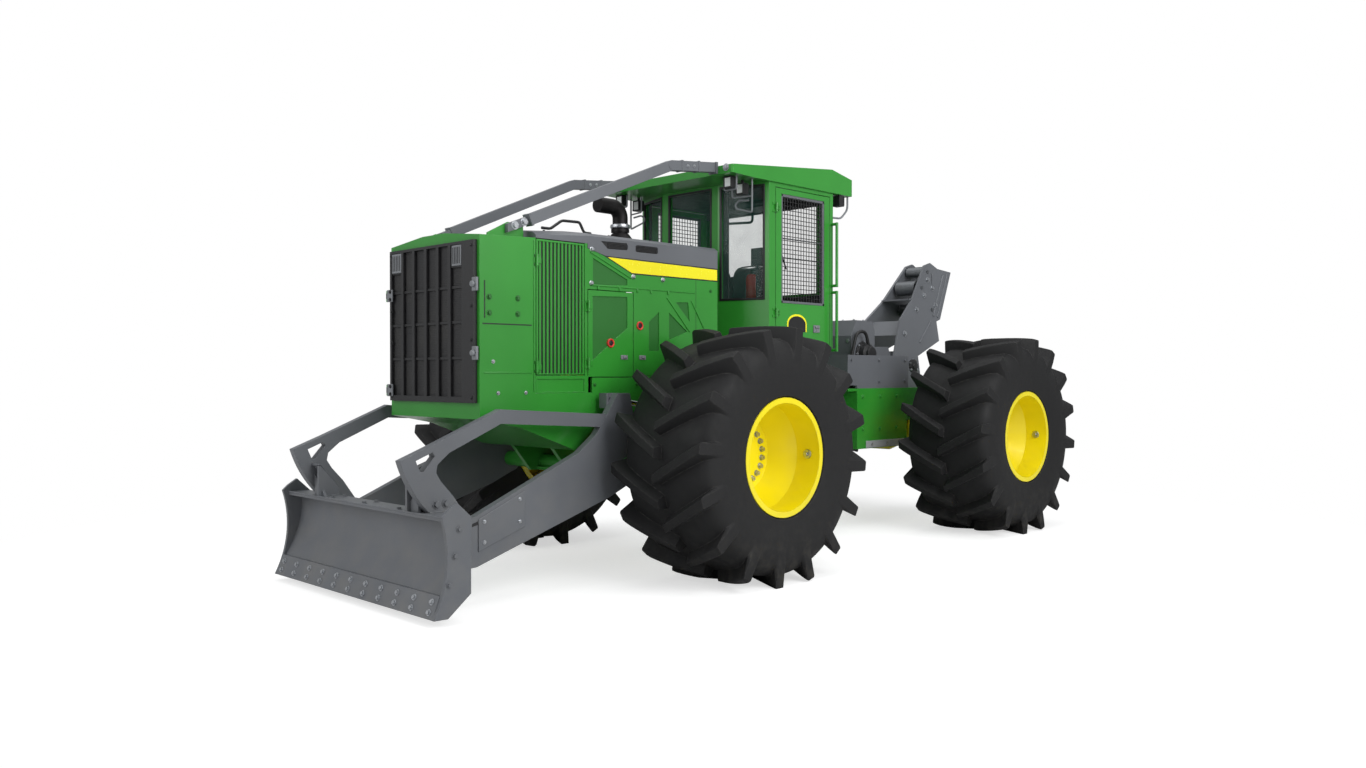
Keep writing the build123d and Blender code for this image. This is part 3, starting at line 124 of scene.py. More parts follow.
class Wire:
    """A shader socket that takes part in Python sums."""

    def __init__(self, shader: "Shader", socket: bpy.types.NodeSocket) -> None:
        """Keeps a socket with the shader that it belongs to."""
        self.shader = shader
        self.socket = socket

    def sum(self, operation: str, first: object, second: object) -> "Wire":
        """Adds a Math node.

        Args:
            operation: the node's operation.
            first: its first value or wire.
            second: its second value or wire.

        Returns:
            The node's result.
        """
        return self.shader.wire("ShaderNodeMath", {"operation": operation}, {0: first, 1: second})

    def __add__(self, other: object) -> "Wire":
        """This plus another."""
        return self.sum("ADD", self, other)

    def __sub__(self, other: object) -> "Wire":
        """This less another."""
        return self.sum("SUBTRACT", self, other)

    def __rsub__(self, other: object) -> "Wire":
        """Another less this."""
        return self.sum("SUBTRACT", other, self)

    def __mul__(self, other: object) -> "Wire":
        """This times another."""
        return self.sum("MULTIPLY", self, other)

    __radd__ = __add__
    __rmul__ = __mul__


class Shader:
    """A material under construction."""

    EDGE_RANGE = (0.02, 0.14)

    def __init__(self, name: str) -> None:
        """Starts an empty material of that name."""
        self.material = bpy.data.materials.new(name)
        self.material.use_nodes = True
        self.tree = self.material.node_tree
        self.tree.nodes.clear()

    def node(self, kind: str, settings: dict | None = None, sockets: dict | None = None) -> bpy.types.Node:
        """Adds one node.

        Args:
            kind: the node's type.
            settings: its properties, or "stops" for a ramp, set before its sockets.
            sockets: a value or a wire for each socket, by name or number.

        Returns:
            The node.
        """
        node = self.tree.nodes.new(kind)
        for key, value in (settings or {}).items():
            if key == "stops":
                ramp = node.color_ramp.elements
                while len(ramp) < len(value):
                    ramp.new(0.5)
                for element, (place, shade) in zip(ramp, value):
                    element.position, element.color = place, shade
            else:
                setattr(node, key, value)
        for key, value in (sockets or {}).items():
            if isinstance(value, Wire):
                self.tree.links.new(value.socket, node.inputs[key])
            else:
                node.inputs[key].default_value = value
        return node

    def wire(self, kind: str, settings: dict | None = None, sockets: dict | None = None,
             output: str | int = 0) -> Wire:
        """Adds one node and gives one of its outputs.

        Args:
            kind: the node's type.
            settings: its properties.
            sockets: its inputs.
            output: the output's name or number.

        Returns:
            That output.
        """
        return Wire(self, self.node(kind, settings, sockets).outputs[output])

    def place(self) -> Wire:
        """The point's place on the machine."""
        return self.wire("ShaderNodeTexCoord", output="Object")

    def height(self) -> Wire:
        """The point's height above the ground."""
        return self.wire("ShaderNodeSeparateXYZ", sockets={0: self.place()}, output="Z")

    def noise(self, scale: float, detail: float = 3.0, stretch: Sequence[float] = (1, 1, 1)) -> Wire:
        """Cloudy noise from 0 to 1.

        Args:
            scale: its waves in a metre.
            detail: how many finer layers it has.
            stretch: a factor for each direction.

        Returns:
            The noise.
        """
        spot = self.wire("ShaderNodeMapping", sockets={"Vector": self.place(), "Scale": stretch})
        return self.wire("ShaderNodeTexNoise", sockets={"Vector": spot, "Scale": scale, "Detail": detail})

    def between(self, value: Wire, low: float, high: float) -> Wire:
        """Zero at low and one at high, held at both ends."""
        return self.wire("ShaderNodeMapRange", {"clamp": True},
                         {"Value": value, "From Min": low, "From Max": high})

    def mix(self, share: object, first: object, second: object) -> Wire:
        """A colour between two others."""
        return self.wire("ShaderNodeMix", {"data_type": "RGBA"}, {0: share, 6: first, 7: second}, 2)

    def round_edge(self, radius: float) -> Wire:
        """The normal of a surface whose edges are rounded."""
        return self.wire("ShaderNodeBevel", {"samples": 4}, {"Radius": radius})

    def edge(self, radius: float) -> Wire:
        """One along sharp edges, zero on flat faces."""
        true = self.wire("ShaderNodeNewGeometry", output="Normal")
        match = self.wire("ShaderNodeVectorMath", {"operation": "DOT_PRODUCT"},
                          {0: self.round_edge(radius), 1: true}, "Value")
        return self.between(1.0 - match, *self.EDGE_RANGE)

    def bump(self, height: Wire, depth: float, strength: float = 1.0, base: Wire | None = None) -> Wire:
        """A normal with small relief.

        Args:
            height: the relief, from 0 to 1.
            depth: the height of one, in metres.
            strength: how much of it shows.
            base: the normal that it stands on.

        Returns:
            The normal.
        """
        sockets = {"Height": height, "Distance": depth, "Strength": strength}
        if base is not None:
            sockets["Normal"] = base
        return self.wire("ShaderNodeBump", sockets=sockets)

    def surface(self, sockets: dict) -> bpy.types.Material:
        """Ends the material with its surface.

        Args:
            sockets: the surface's values and wires.

        Returns:
            The finished material.
        """
        body = self.wire("ShaderNodeBsdfPrincipled", sockets=sockets)
        self.node("ShaderNodeOutputMaterial", sockets={"Surface": body})
        return self.material


@dataclass(frozen=True)
class Paint:
    """Sprayed machine paint: orange peel, faint clouds, dust low down and wear on its edges."""

    name: str
    shade: str
    rough: float = 0.3
    coat: float = 0.4
    wear: float = 0.5
    under: str = "8f9296"
    dust: float = 0.25
    peel: float = 0.0002
    dust_shade: str = "8d887c"
    dust_top: float = 1.25
    dust_foot: float = 0.05
    chip_r: float = 0.006
    round_r: float = 0.004
    coat_rough: float = 0.12

    def make(self) -> bpy.types.Material:
        """Builds the material."""
        s = Shader(self.name)
        cloud = s.noise(1.3, 3)
        fine = s.noise(45, 4)
        own = colour(self.shade)
        coated = s.mix(s.between(cloud, 0.3, 0.7), tint(own, 0.88), tint(own, 1.07, 0.004))
        low = s.between(s.height(), self.dust_top, self.dust_foot)
        film = low * s.between(s.noise(6, 5), 0.4, 0.75) * self.dust
        dusty = s.mix(film, coated, colour(self.dust_shade))
        edge = s.edge(self.chip_r)
        chip = edge * s.between(fine, 0.56 - 0.1 * self.wear, 0.66) * self.wear
        shade = s.mix(chip, dusty, colour(self.under))
        rough = self.rough + (fine - 0.5) * 0.1 + film * 0.5 + chip * 0.2
        normal = s.bump(s.noise(300, 2), self.peel, 0.5, s.round_edge(self.round_r))
        return s.surface({"Base Color": shade, "Roughness": rough, "Coat Weight": (1.0 - chip) * self.coat,
                          "Coat Roughness": self.coat_rough, "Normal": normal})


@dataclass(frozen=True)
class Rubber:
    """Tyre rubber: matt, with dust in the tread and fine mould marks on the wall."""

    name: str = "tyre_rubber"
    shade: str = "171718"
    scuff_shade: str = "5a5956"
    dust_shade: str = "6f6a60"
    dust_top: float = 0.5
    scuff_r: float = 0.012
    round_r: float = 0.008

    def make(self) -> bpy.types.Material:
        """Builds the material."""
        s = Shader(self.name)
        own = colour(self.shade)
        cloud = s.between(s.noise(9, 5), 0.35, 0.75)
        mottled = s.mix(cloud * 0.45, own, tint(own, 1.5, 0.003))
        edge = s.edge(self.scuff_r) * s.between(s.noise(30, 4), 0.35, 0.7)
        scuffed = s.mix(edge * 0.35, mottled, colour(self.scuff_shade))
        dust = s.between(s.height(), self.dust_top, 0.0) * s.between(s.noise(14, 5), 0.45, 0.8)
        shade = s.mix(dust * 0.25, scuffed, colour(self.dust_shade))
        rough = 0.62 + cloud * 0.2
        grain = s.bump(s.noise(220, 3), 0.0006, 0.5, s.round_edge(self.round_r))
        return s.surface({"Base Color": shade, "Roughness": rough, "Normal": grain,
                          "Specular IOR Level": 0.35})


@dataclass(frozen=True)
class Metal:
    """Bare or plated metal with brushed marks."""

    name: str
    shade: str
    rough: float = 0.3
    stain: float = 0.2
    stain_shade: str = "4a3a2c"
    grain: float = 0.0002
    stretch: tuple[float, float, float] = (1, 1, 1)
    round_r: float = 0.0015

    def make(self) -> bpy.types.Material:
        """Builds the material."""
        s = Shader(self.name)
        cloud = s.noise(12, 5)
        marks = s.noise(90, 4, self.stretch)
        spots = s.between(cloud, 0.55, 0.8) * self.stain
        shade = s.mix(spots, colour(self.shade), colour(self.stain_shade))
        rough = self.rough + (marks - 0.5) * 0.25 + spots * 0.4
        normal = s.bump(marks, self.grain, 0.6, s.round_edge(self.round_r))
        return s.surface({"Base Color": shade, "Metallic": 1.0 - spots, "Roughness": rough,
                          "Normal": normal})


@dataclass(frozen=True)
class Moulding:
    """Moulded plastic, rubber trim or cast parts with a fine grain."""

    name: str
    shade: str
    rough: float = 0.5
    grain_scale: float = 320.0
    grain: float = 0.0004
    clear: float = 0.0
    edge_r: float = 0.003
    round_r: float = 0.002

    def make(self) -> bpy.types.Material:
        """Builds the material."""
        s = Shader(self.name)
        own = colour(self.shade)
        cloud = s.between(s.noise(16, 4), 0.3, 0.75)
        edge = s.edge(self.edge_r)
        shade = s.mix(cloud * 0.4 + edge * 0.35, own, tint(own, 1.25, 0.004))
        rough = self.rough + (cloud - 0.5) * 0.15
        normal = s.bump(s.noise(self.grain_scale, 2), self.grain, 0.5, s.round_edge(self.round_r))
        return s.surface({"Base Color": shade, "Roughness": rough, "Normal": normal,
                          "Coat Weight": self.clear})


@dataclass(frozen=True)
class Cloth:
    """Woven seat cloth."""

    name: str = "seat_cloth"
    shade: str = "242426"
    threads: float = 520.0

    def make(self) -> bpy.types.Material:
        """Builds the material."""
        s = Shader(self.name)
        spot = s.wire("ShaderNodeMapping", sockets={"Vector": s.place(), "Scale": (self.threads,) * 3})
        across = s.wire("ShaderNodeTexWave", {"wave_type": "BANDS", "bands_direction": "X"},
                        {"Vector": spot, "Scale": 1.0, "Distortion": 0.4})
        along = s.wire("ShaderNodeTexWave", {"wave_type": "BANDS", "bands_direction": "Z"},
                       {"Vector": spot, "Scale": 1.0, "Distortion": 0.4})
        weave = across * 0.5 + along * 0.5
        own = colour(self.shade)
        shade = s.mix(weave * 0.6 + s.between(s.noise(8, 4), 0.4, 0.8) * 0.3, own, tint(own, 1.9, 0.006))
        return s.surface({"Base Color": shade, "Roughness": 0.9 - weave * 0.1,
                          "Normal": s.bump(weave, 0.0008, 0.6), "Sheen Weight": 0.3})


@dataclass(frozen=True)
class Glass:
    """A clear pane with a faint tint and a film of dust."""

    name: str
    shade: str
    alpha: float
    rough: float = 0.03
    film_shade: str = "dfe8e4"
    bend: float = 1.5

    def make(self) -> bpy.types.Material:
        """Builds the material."""
        s = Shader(self.name)
        film = s.between(s.noise(5, 5), 0.45, 0.8)
        shade = s.mix(film * 0.1, colour(self.shade), colour(self.film_shade))
        return s.surface({"Base Color": shade, "Roughness": self.rough + film * 0.06,
                          "Alpha": self.alpha + film * 0.05, "IOR": self.bend})


@dataclass(frozen=True)
class Screen:
    """Fine woven wire or a cooler core: a dark sheet whose small square openings are painted darker still, as painted
    shade of the space behind.
    """

    name: str
    shade: str
    pitch: float = 0.008
    dirt_shade: str = "4a4843"
    TURN: ClassVar[float] = 6.2832
    WAVE_SCALE: ClassVar[float] = 20.0

    def make(self) -> bpy.types.Material:
        """Builds the material."""
        s = Shader(self.name)
        turns = self.TURN / self.pitch / self.WAVE_SCALE
        bands = []
        for direction in ("X", "Z"):
            wave = s.wire("ShaderNodeTexWave", {"wave_type": "BANDS", "bands_direction": direction},
                          {"Vector": s.place(), "Scale": turns})
            bands.append(s.between(wave, 0.35, 0.7))
        wires = s.wire("ShaderNodeMath", {"operation": "MAXIMUM"}, {0: bands[0], 1: bands[1]})
        own = colour(self.shade)
        # The openings are a quarter of the wire's colour: painted shade of the space behind the screen.
        shade = s.mix(wires, tint(own, 0.25), own)
        soiled = s.mix(s.between(s.noise(4, 5), 0.4, 0.8) * 0.3, shade, colour(self.dirt_shade))
        return s.surface({"Base Color": soiled, "Roughness": 0.55 + wires * 0.1,
                          "Normal": s.bump(wires, 0.002, 0.7)})


class Finish(Enum):
    """Each finish with the record's slot that it belongs to."""

    GREEN = (Paint("green_paint", "2e8f2c", 0.3, 0.35, 0.3), "green_paint")
    YELLOW = (Paint("yellow_paint", "f4e204", 0.34, 0.3, 0.35, dust=0.12), "yellow_paint")
    CHARCOAL = (Paint("charcoal_paint", "63666b", 0.46, 0.1, 0.4, "a5a7aa"), "charcoal_paint")
    BLACK = (Paint("black_paint", "1d1d1f", 0.5, 0.05, 0.4, "5e6063"), "black_paint")
    STRIPE = (Paint("stripe_film", "ffee12", 0.26, 0.5, 0.05, dust=0.0, peel=0.0001), "yellow_paint")
    CHROME = (Metal("chromed_rod", "d8dade", 0.12, 0.05, grain=0.00005, stretch=(1, 8, 8)), "chromed_rod")
    ZINC = (Metal("zinc_plate", "b9bcc0", 0.34, 0.25), "charcoal_paint")
    WORN = (Metal("worn_steel", "7c7f82", 0.42, 0.55, "3a332c", 0.0006, (0.3, 1, 1)), "charcoal_paint")
    SOOT = (Metal("sooted_pipe", "2c2b2b", 0.5, 0.7, "141313", 0.0005), "black_paint")
    TYRE = (Rubber(), "tyre")
    TRIM = (Moulding("black_trim", "1c1c1d", 0.45), "black_paint")
    PLASTIC = (Moulding("cab_plastic", "2a2a2c", 0.55, 180.0, 0.0006), "black_paint")
    RED = (Moulding("red_ring", "d2372a", 0.4, 200.0, 0.0003, 0.3), "black_paint")
    GLASS = (Glass("cab_glass", "2f6459", 0.13), "glass")
    # A darker copy of the machine's green paint: painted shade, used on the pressed recess floors and on some bolts.
    RECESS = (Paint("shaded_green", "1c6b1d", 0.45, 0.1, 0.2), "green_paint")
    PALE = (Paint("pale_steel", "a4a7aa", 0.45, 0.1, 0.35), "charcoal_paint")
    GREY = (Moulding("grey_housing", "777a7e", 0.5, 180.0, 0.0005), "black_paint")
    HOSE = (Moulding("hose_rubber", "161617", 0.55, 420.0, 0.0004), "black_paint")
    BOTTLE = (Paint("bottle_red", "c0261f", 0.22, 0.6, 0.1, dust=0.0), "black_paint")
    BRIGHT = (Moulding("bright_lens", "f0f3f3", 0.14, 70.0, 0.0015, 0.8), "glass")
    ROPE = (Metal("wire_rope", "77797c", 0.42, 0.5, "3b342d", 0.0008, (1, 6, 6)), "charcoal_paint")
    SCREEN = (Screen("grille_screen", "2a2a2c", 0.012), "black_paint")
    CORE = (Screen("cooler_core", "3a3b3d", 0.006), "black_paint")
    CLOTH = (Cloth(), "seat_cloth")

    @property
    def slot(self) -> str:
        """The record's slot."""
        return self.value[1]


class PaintShop:
    """Makes each finish once and hands it out."""

    def __init__(self) -> None:
        """Starts with no material made."""
        self.made: dict[Finish, bpy.types.Material] = {}

    def of(self, finish: Finish) -> bpy.types.Material:
        """The material of a finish."""
        if finish not in self.made:
            self.made[finish] = finish.value[0].make()
        return self.made[finish]

    def dress_cad(self, own: dict[str, Finish]) -> None:
        """Gives every CAD node its finish.

        Args:
            own: the nodes whose finish isn't their slot's main one.
        """
        main = {finish.slot: finish for finish in reversed(Finish)}
        for row in frame["record"]["subparts"]:
            name = row["node"]
            finish = own.get(name, main[row["material_slot"]])
            node = frame["nodes"][name]
            node.data.materials.clear()
            node.data.materials.append(self.of(finish))
            LOG.info("node %s: %s", name, finish.name)


SHOP = PaintShop()


# Shapes

class Shape:
    """A mesh in the making, in metres in the CAD frame."""

    BEND_STEPS = 5

    def __init__(self, side: int = 1) -> None:
        """Starts an empty mesh; side -1 mirrors it to the machine's right when it ends."""
        self.side = side
        self.bm = bmesh.new()

    def skin(self, rings: Sequence[Sequence[Vector]], loop: bool = False) -> None:
        """Joins a run of closed rings with faces.

        Args:
            rings: rings of points, all of one length.
            loop: whether the last ring joins the first; otherwise both ends are capped.
        """
        rows = [[self.bm.verts.new(point) for point in ring] for ring in rings]
        count = len(rows[0])
        pairs = list(zip(rows, rows[1:])) + ([(rows[-1], rows[0])] if loop else [])
        for low, high in pairs:
            for i in range(count):
                j = (i + 1) % count
                self.bm.faces.new((low[i], low[j], high[j], high[i]))
        if not loop:
            self.bm.faces.new(rows[0][::-1])
            self.bm.faces.new(rows[-1])

    def prism(self, outline: Sequence[tuple[float, float]], plane: str, near: float, far: float) -> "Shape":
        """Adds a plate with a flat outline.

        Args:
            outline: its corners; y values are measured from the front axle.
            plane: "yz", "xz" or "xy", the two directions of the corners.
            near: its start along the third direction.
            far: its end.

        Returns:
            This shape.
        """
        def corner(a: float, b: float, c: float) -> Vector:
            return {"yz": at(c, a, b), "xz": at(a, c, b), "xy": at(a, b, c)}[plane]
        self.skin([[corner(a, b, c) for a, b in outline] for c in (near, far)])
        return self

    def block(self, x0: float, x1: float, y0: float, y1: float, z0: float, z1: float) -> "Shape":
        """Adds a block by its limits, y measured from the front axle."""
        return self.prism(((x0, y0), (x1, y0), (x1, y1), (x0, y1)), "xy", z0, z1)

    def ring(self, centre: Vector, across: Vector, radius: float, sides: int) -> list[Vector]:
        """The points of a circle.

        Args:
            centre: its centre.
            across: the direction that it faces.
            radius: its radius.
            sides: how many points it has.

        Returns:
            The points.
        """
        turn = across.to_track_quat("Z", "Y")
        return [centre + turn @ Vector((c, s, 0)) for s, c in circle(radius, sides)]

    def bar(self, start: Vector, end: Vector, radius: float, sides: int = 14, tip: float | None = None) -> "Shape":
        """Adds a round bar between two points, with the radius tip at its end."""
        run = end - start
        last = radius if tip is None else tip
        self.skin([self.ring(start, run, radius, sides), self.ring(end, run, last, sides)])
        return self

    def hoop(self, path: Sequence[Vector], radius: float, sides: int) -> "Shape":
        """Adds a round hoop along a closed path."""
        after = [*path[1:], path[0]]
        self.skin([self.ring(point, nxt - path[i - 1], radius, sides)
                   for i, (point, nxt) in enumerate(zip(path, after))], loop=True)
        return self

    def tube(self, path: Sequence[Vector], radius: float, sides: int = 10, bend: float = 0.0) -> "Shape":
        """Adds a round tube along a path.

        Args:
            path: its corners.
            radius: its radius.
            sides: how many faces it has round.
            bend: the length that each corner's curve takes up on either side.

        Returns:
            This shape.
        """
        points = [path[0]]
        for before, corner, after in zip(path, path[1:], path[2:]):
            a = corner + (before - corner).normalized() * bend
            b = corner + (after - corner).normalized() * bend
            if not bend:
                points.append(corner)
                continue
            shares = [i / self.BEND_STEPS for i in range(self.BEND_STEPS + 1)]
            points += [a.lerp(corner, t).lerp(corner.lerp(b, t), t) for t in shares]
        points.append(path[-1])
        rings = []
        turn = None
        for i, point in enumerate(points):
            into = (point - points[i - 1]).normalized() if i else (points[1] - point).normalized()
            out = (points[i + 1] - point).normalized() if i + 1 < len(points) else into
            along = (into + out).normalized()
            turn = along.to_track_quat("Z", "Y") if turn is None else last.rotation_difference(along) @ turn
            last = along
            grow = 1.0 / max(0.5, along.dot(into))
            if bend:
                grow = 1.0
            rings.append([point + turn @ Vector((c, s, 0)) * grow for s, c in circle(radius, sides)])
        self.skin(rings)
        return self

    def lathe(self, profile: Sequence[tuple[float, float]], centre: Vector, steps: int = 48,
              axis: str = "X") -> "Shape":
        """Adds a turned piece.

        Args:
            profile: a closed run of (place along the axis, radius) points.
            centre: where the axis place is zero.
            steps: how many faces it has round.
            axis: "X", "Y" or "Z".

        Returns:
            This shape.
        """
        turn = {"X": Matrix.Identity(3), "Y": Matrix.Rotation(math.pi / 2, 3, "Z"),
                "Z": Matrix.Rotation(-math.pi / 2, 3, "Y")}[axis]
        rings = [[centre + turn @ Vector((x, r * s, r * c)) for x, r in profile] for s, c in circle(1.0, steps)]
        self.skin(rings, loop=True)
        return self

    def strip(self, start: tuple[float, float], end: tuple[float, float], width: float, near: float,
              far: float) -> "Shape":
        """Adds a straight strip on the machine's side.

        Args:
            start: where its middle line starts, as (y, z).
            end: where it ends.
            width: its width.
            near: its inner face, along X.
            far: its outer face.

        Returns:
            This shape.
        """
        a, b = Vector(start), Vector(end)
        off = Vector((a.y - b.y, b.x - a.x)).normalized() * (width / 2)
        return self.prism([tuple(p) for p in (a + off, b + off, b - off, a - off)], "yz", near, far)

    def wall(self, start: tuple[float, float], along: Vector, run: tuple[float, float],
             rise: tuple[float, float], near: float, far: float) -> "Shape":
        """Adds a block on an upright wall.

        Args:
            start: where the wall starts, as (x, y).
            along: its direction, seen from outside from left to right.
            run: the block's limits along the wall.
            rise: its limits in height.
            near: its inner face, from the wall outwards.
            far: its outer face.

        Returns:
            This shape.
        """
        out = Vector((along.y, -along.x))
        base = Vector(start)
        corners = [base + along * u + out * d for u, d in
                   ((run[0], near), (run[1], near), (run[1], far), (run[0], far))]
        return self.prism([tuple(c) for c in corners], "xy", *rise)

    def mesh(self, name: str) -> bpy.types.Mesh:
        """Ends the mesh: doubles merged, faces outwards."""
        if self.side < 0:
            for vert in self.bm.verts:
                vert.co.x *= -1
        bmesh.ops.remove_doubles(self.bm, verts=self.bm.verts, dist=1e-5)
        bmesh.ops.dissolve_degenerate(self.bm, dist=1e-6, edges=self.bm.edges)
        bmesh.ops.recalc_face_normals(self.bm, faces=self.bm.faces)
        mesh = bpy.data.meshes.new(name)
        self.bm.to_mesh(mesh)
        self.bm.free()
        return mesh

    def piece(self, name: str, finish: Finish, body: str, bevel: float = 0.0, smooth: float = 35.0) \
            -> bpy.types.Object:
        """Ends the mesh as a piece that rides on a CAD body.

        Args:
            name: the piece's name.
            finish: its finish.
            body: the CAD body that carries it.
            bevel: the width of its rounded edges.
            smooth: edges flatter than this many degrees are shaded smooth.

        Returns:
            The piece.
        """
        mesh = self.mesh(name)
        return hang(name, mesh, finish, body, bevel, smooth)


def hang(name: str, mesh: bpy.types.Mesh, finish: Finish, body: str, bevel: float = 0.0,
         smooth: float = 35.0) -> bpy.types.Object:
    """Makes a mesh a piece of the machine.

    Args:
        name: the piece's name.
        mesh: its mesh, in place.
        finish: its finish.
        body: the CAD body that carries it.
        bevel: the width of its rounded edges.
        smooth: edges flatter than this many degrees are shaded smooth.

    Returns:
        The piece.
    """
    mesh.materials.clear()
    mesh.materials.append(SHOP.of(finish))
    mesh.polygons.foreach_set("use_smooth", [True] * len(mesh.polygons))
    mesh.set_sharp_from_angle(angle=math.radians(smooth))
    piece = bpy.data.objects.new(name, mesh)
    bpy.context.scene.collection.objects.link(piece)
    if bevel:
        rounded = piece.modifiers.new("rounded", "BEVEL")
        rounded.width, rounded.segments, rounded.limit_method = bevel, BEVEL_SEGMENTS, "ANGLE"
        rounded.angle_limit = BEVEL_ANGLE
    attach(piece, body)
    LOG.info("piece %s on %s: %d faces", name, body, len(mesh.polygons))
    return piece


def both(name: str, draw: Callable[[Shape], object], finish: Finish, body: str, bevel: float = 0.0,
         smooth: float = 35.0) -> None:
    """Makes one piece for each side of the machine.

    Args:
        name: the pieces' name, before their side.
        draw: draws the left piece into a shape.
        finish: their finish.
        body: the CAD body, with {} where the side stands.
        bevel: the width of their rounded edges.
        smooth: edges flatter than this many degrees are shaded smooth.
    """
    for side_name, side in SIDES:
        shape = Shape(side)
        draw(shape)
        shape.piece(f"{name}_{side_name}", finish, body.format(side_name), bevel, smooth)


class Recipe:
    """A Geometry Nodes tree under construction, with named inputs."""

    def __init__(self, name: str, inputs: Sequence[tuple[str, str]]) -> None:
        """Starts a tree.

        Args:
            name: the tree's name.
            inputs: the label and the socket type of each input after the geometry.
        """
        self.tree = bpy.data.node_groups.new(name, "GeometryNodeTree")
        face = self.tree.interface
        face.new_socket("Geometry", in_out="INPUT", socket_type="NodeSocketGeometry")
        self.ids = {}
        for label, kind in [*inputs, ("Finish", "NodeSocketMaterial")]:
            self.ids[label] = face.new_socket(label, in_out="INPUT", socket_type=kind).identifier
        face.new_socket("Geometry", in_out="OUTPUT", socket_type="NodeSocketGeometry")
        self.enter = self.tree.nodes.new("NodeGroupInput")

    def add(self, kind: str, settings: dict | None = None, sockets: dict | None = None) -> bpy.types.Node:
        """Adds one node.

        Args:
            kind: the node's type.
            settings: its properties, set first.
            sockets: a value, an output socket, or a node whose first output is meant, for each input.

        Returns:
            The node.
        """
        node = self.tree.nodes.new(kind)
        for key, value in (settings or {}).items():
            setattr(node, key, value)
        for key, value in (sockets or {}).items():
            if isinstance(value, bpy.types.Node):
                value = value.outputs[0]
            if isinstance(value, bpy.types.NodeSocket):
                self.tree.links.new(value, node.inputs[key])
            else:
                node.inputs[key].default_value = value
        return node

    def given(self, label: str) -> bpy.types.NodeSocket:
        """The tree's own input of that label."""
        return self.enter.outputs[label]

    def end(self, grown: bpy.types.Node) -> None:
        """Ends the tree: instances made real, finish set."""
        real = self.add("GeometryNodeRealizeInstances", sockets={0: grown})
        done = self.add("GeometryNodeSetMaterial", sockets={"Geometry": real, "Material": self.given("Finish")})
        self.add("NodeGroupOutput", sockets={0: done})

    def grow(self, mesh: bpy.types.Mesh, finish: Finish, values: dict) -> bpy.types.Mesh:
        """Runs the tree on a mesh.

        Args:
            mesh: the mesh that it starts from.
            finish: the finish of what it makes.
            values: a value for each named input.

        Returns:
            The plain mesh that it makes.
        """
        holder = bpy.data.objects.new("grown", mesh)
        bpy.context.scene.collection.objects.link(holder)
        modifier = holder.modifiers.new("recipe", "NODES")
        modifier.node_group = self.tree
        for label, value in {**values, "Finish": SHOP.of(finish)}.items():
            modifier[self.ids[label]] = value
        depsgraph = bpy.context.evaluated_depsgraph_get()
        made = bpy.data.meshes.new_from_object(holder.evaluated_get(depsgraph))
        holder.modifiers.clear()
        bpy.data.objects.remove(holder)
        return made


class Fastener(Enum):
    """Sizes of bolt heads: across flats, height and washer, as radii and heights in metres."""

    SMALL = (0.009, 0.007, 0.014)
    MEDIUM = (0.014, 0.011, 0.021)
    LARGE = (0.021, 0.016, 0.031)
    STUD = (0.017, 0.022, 0.024)


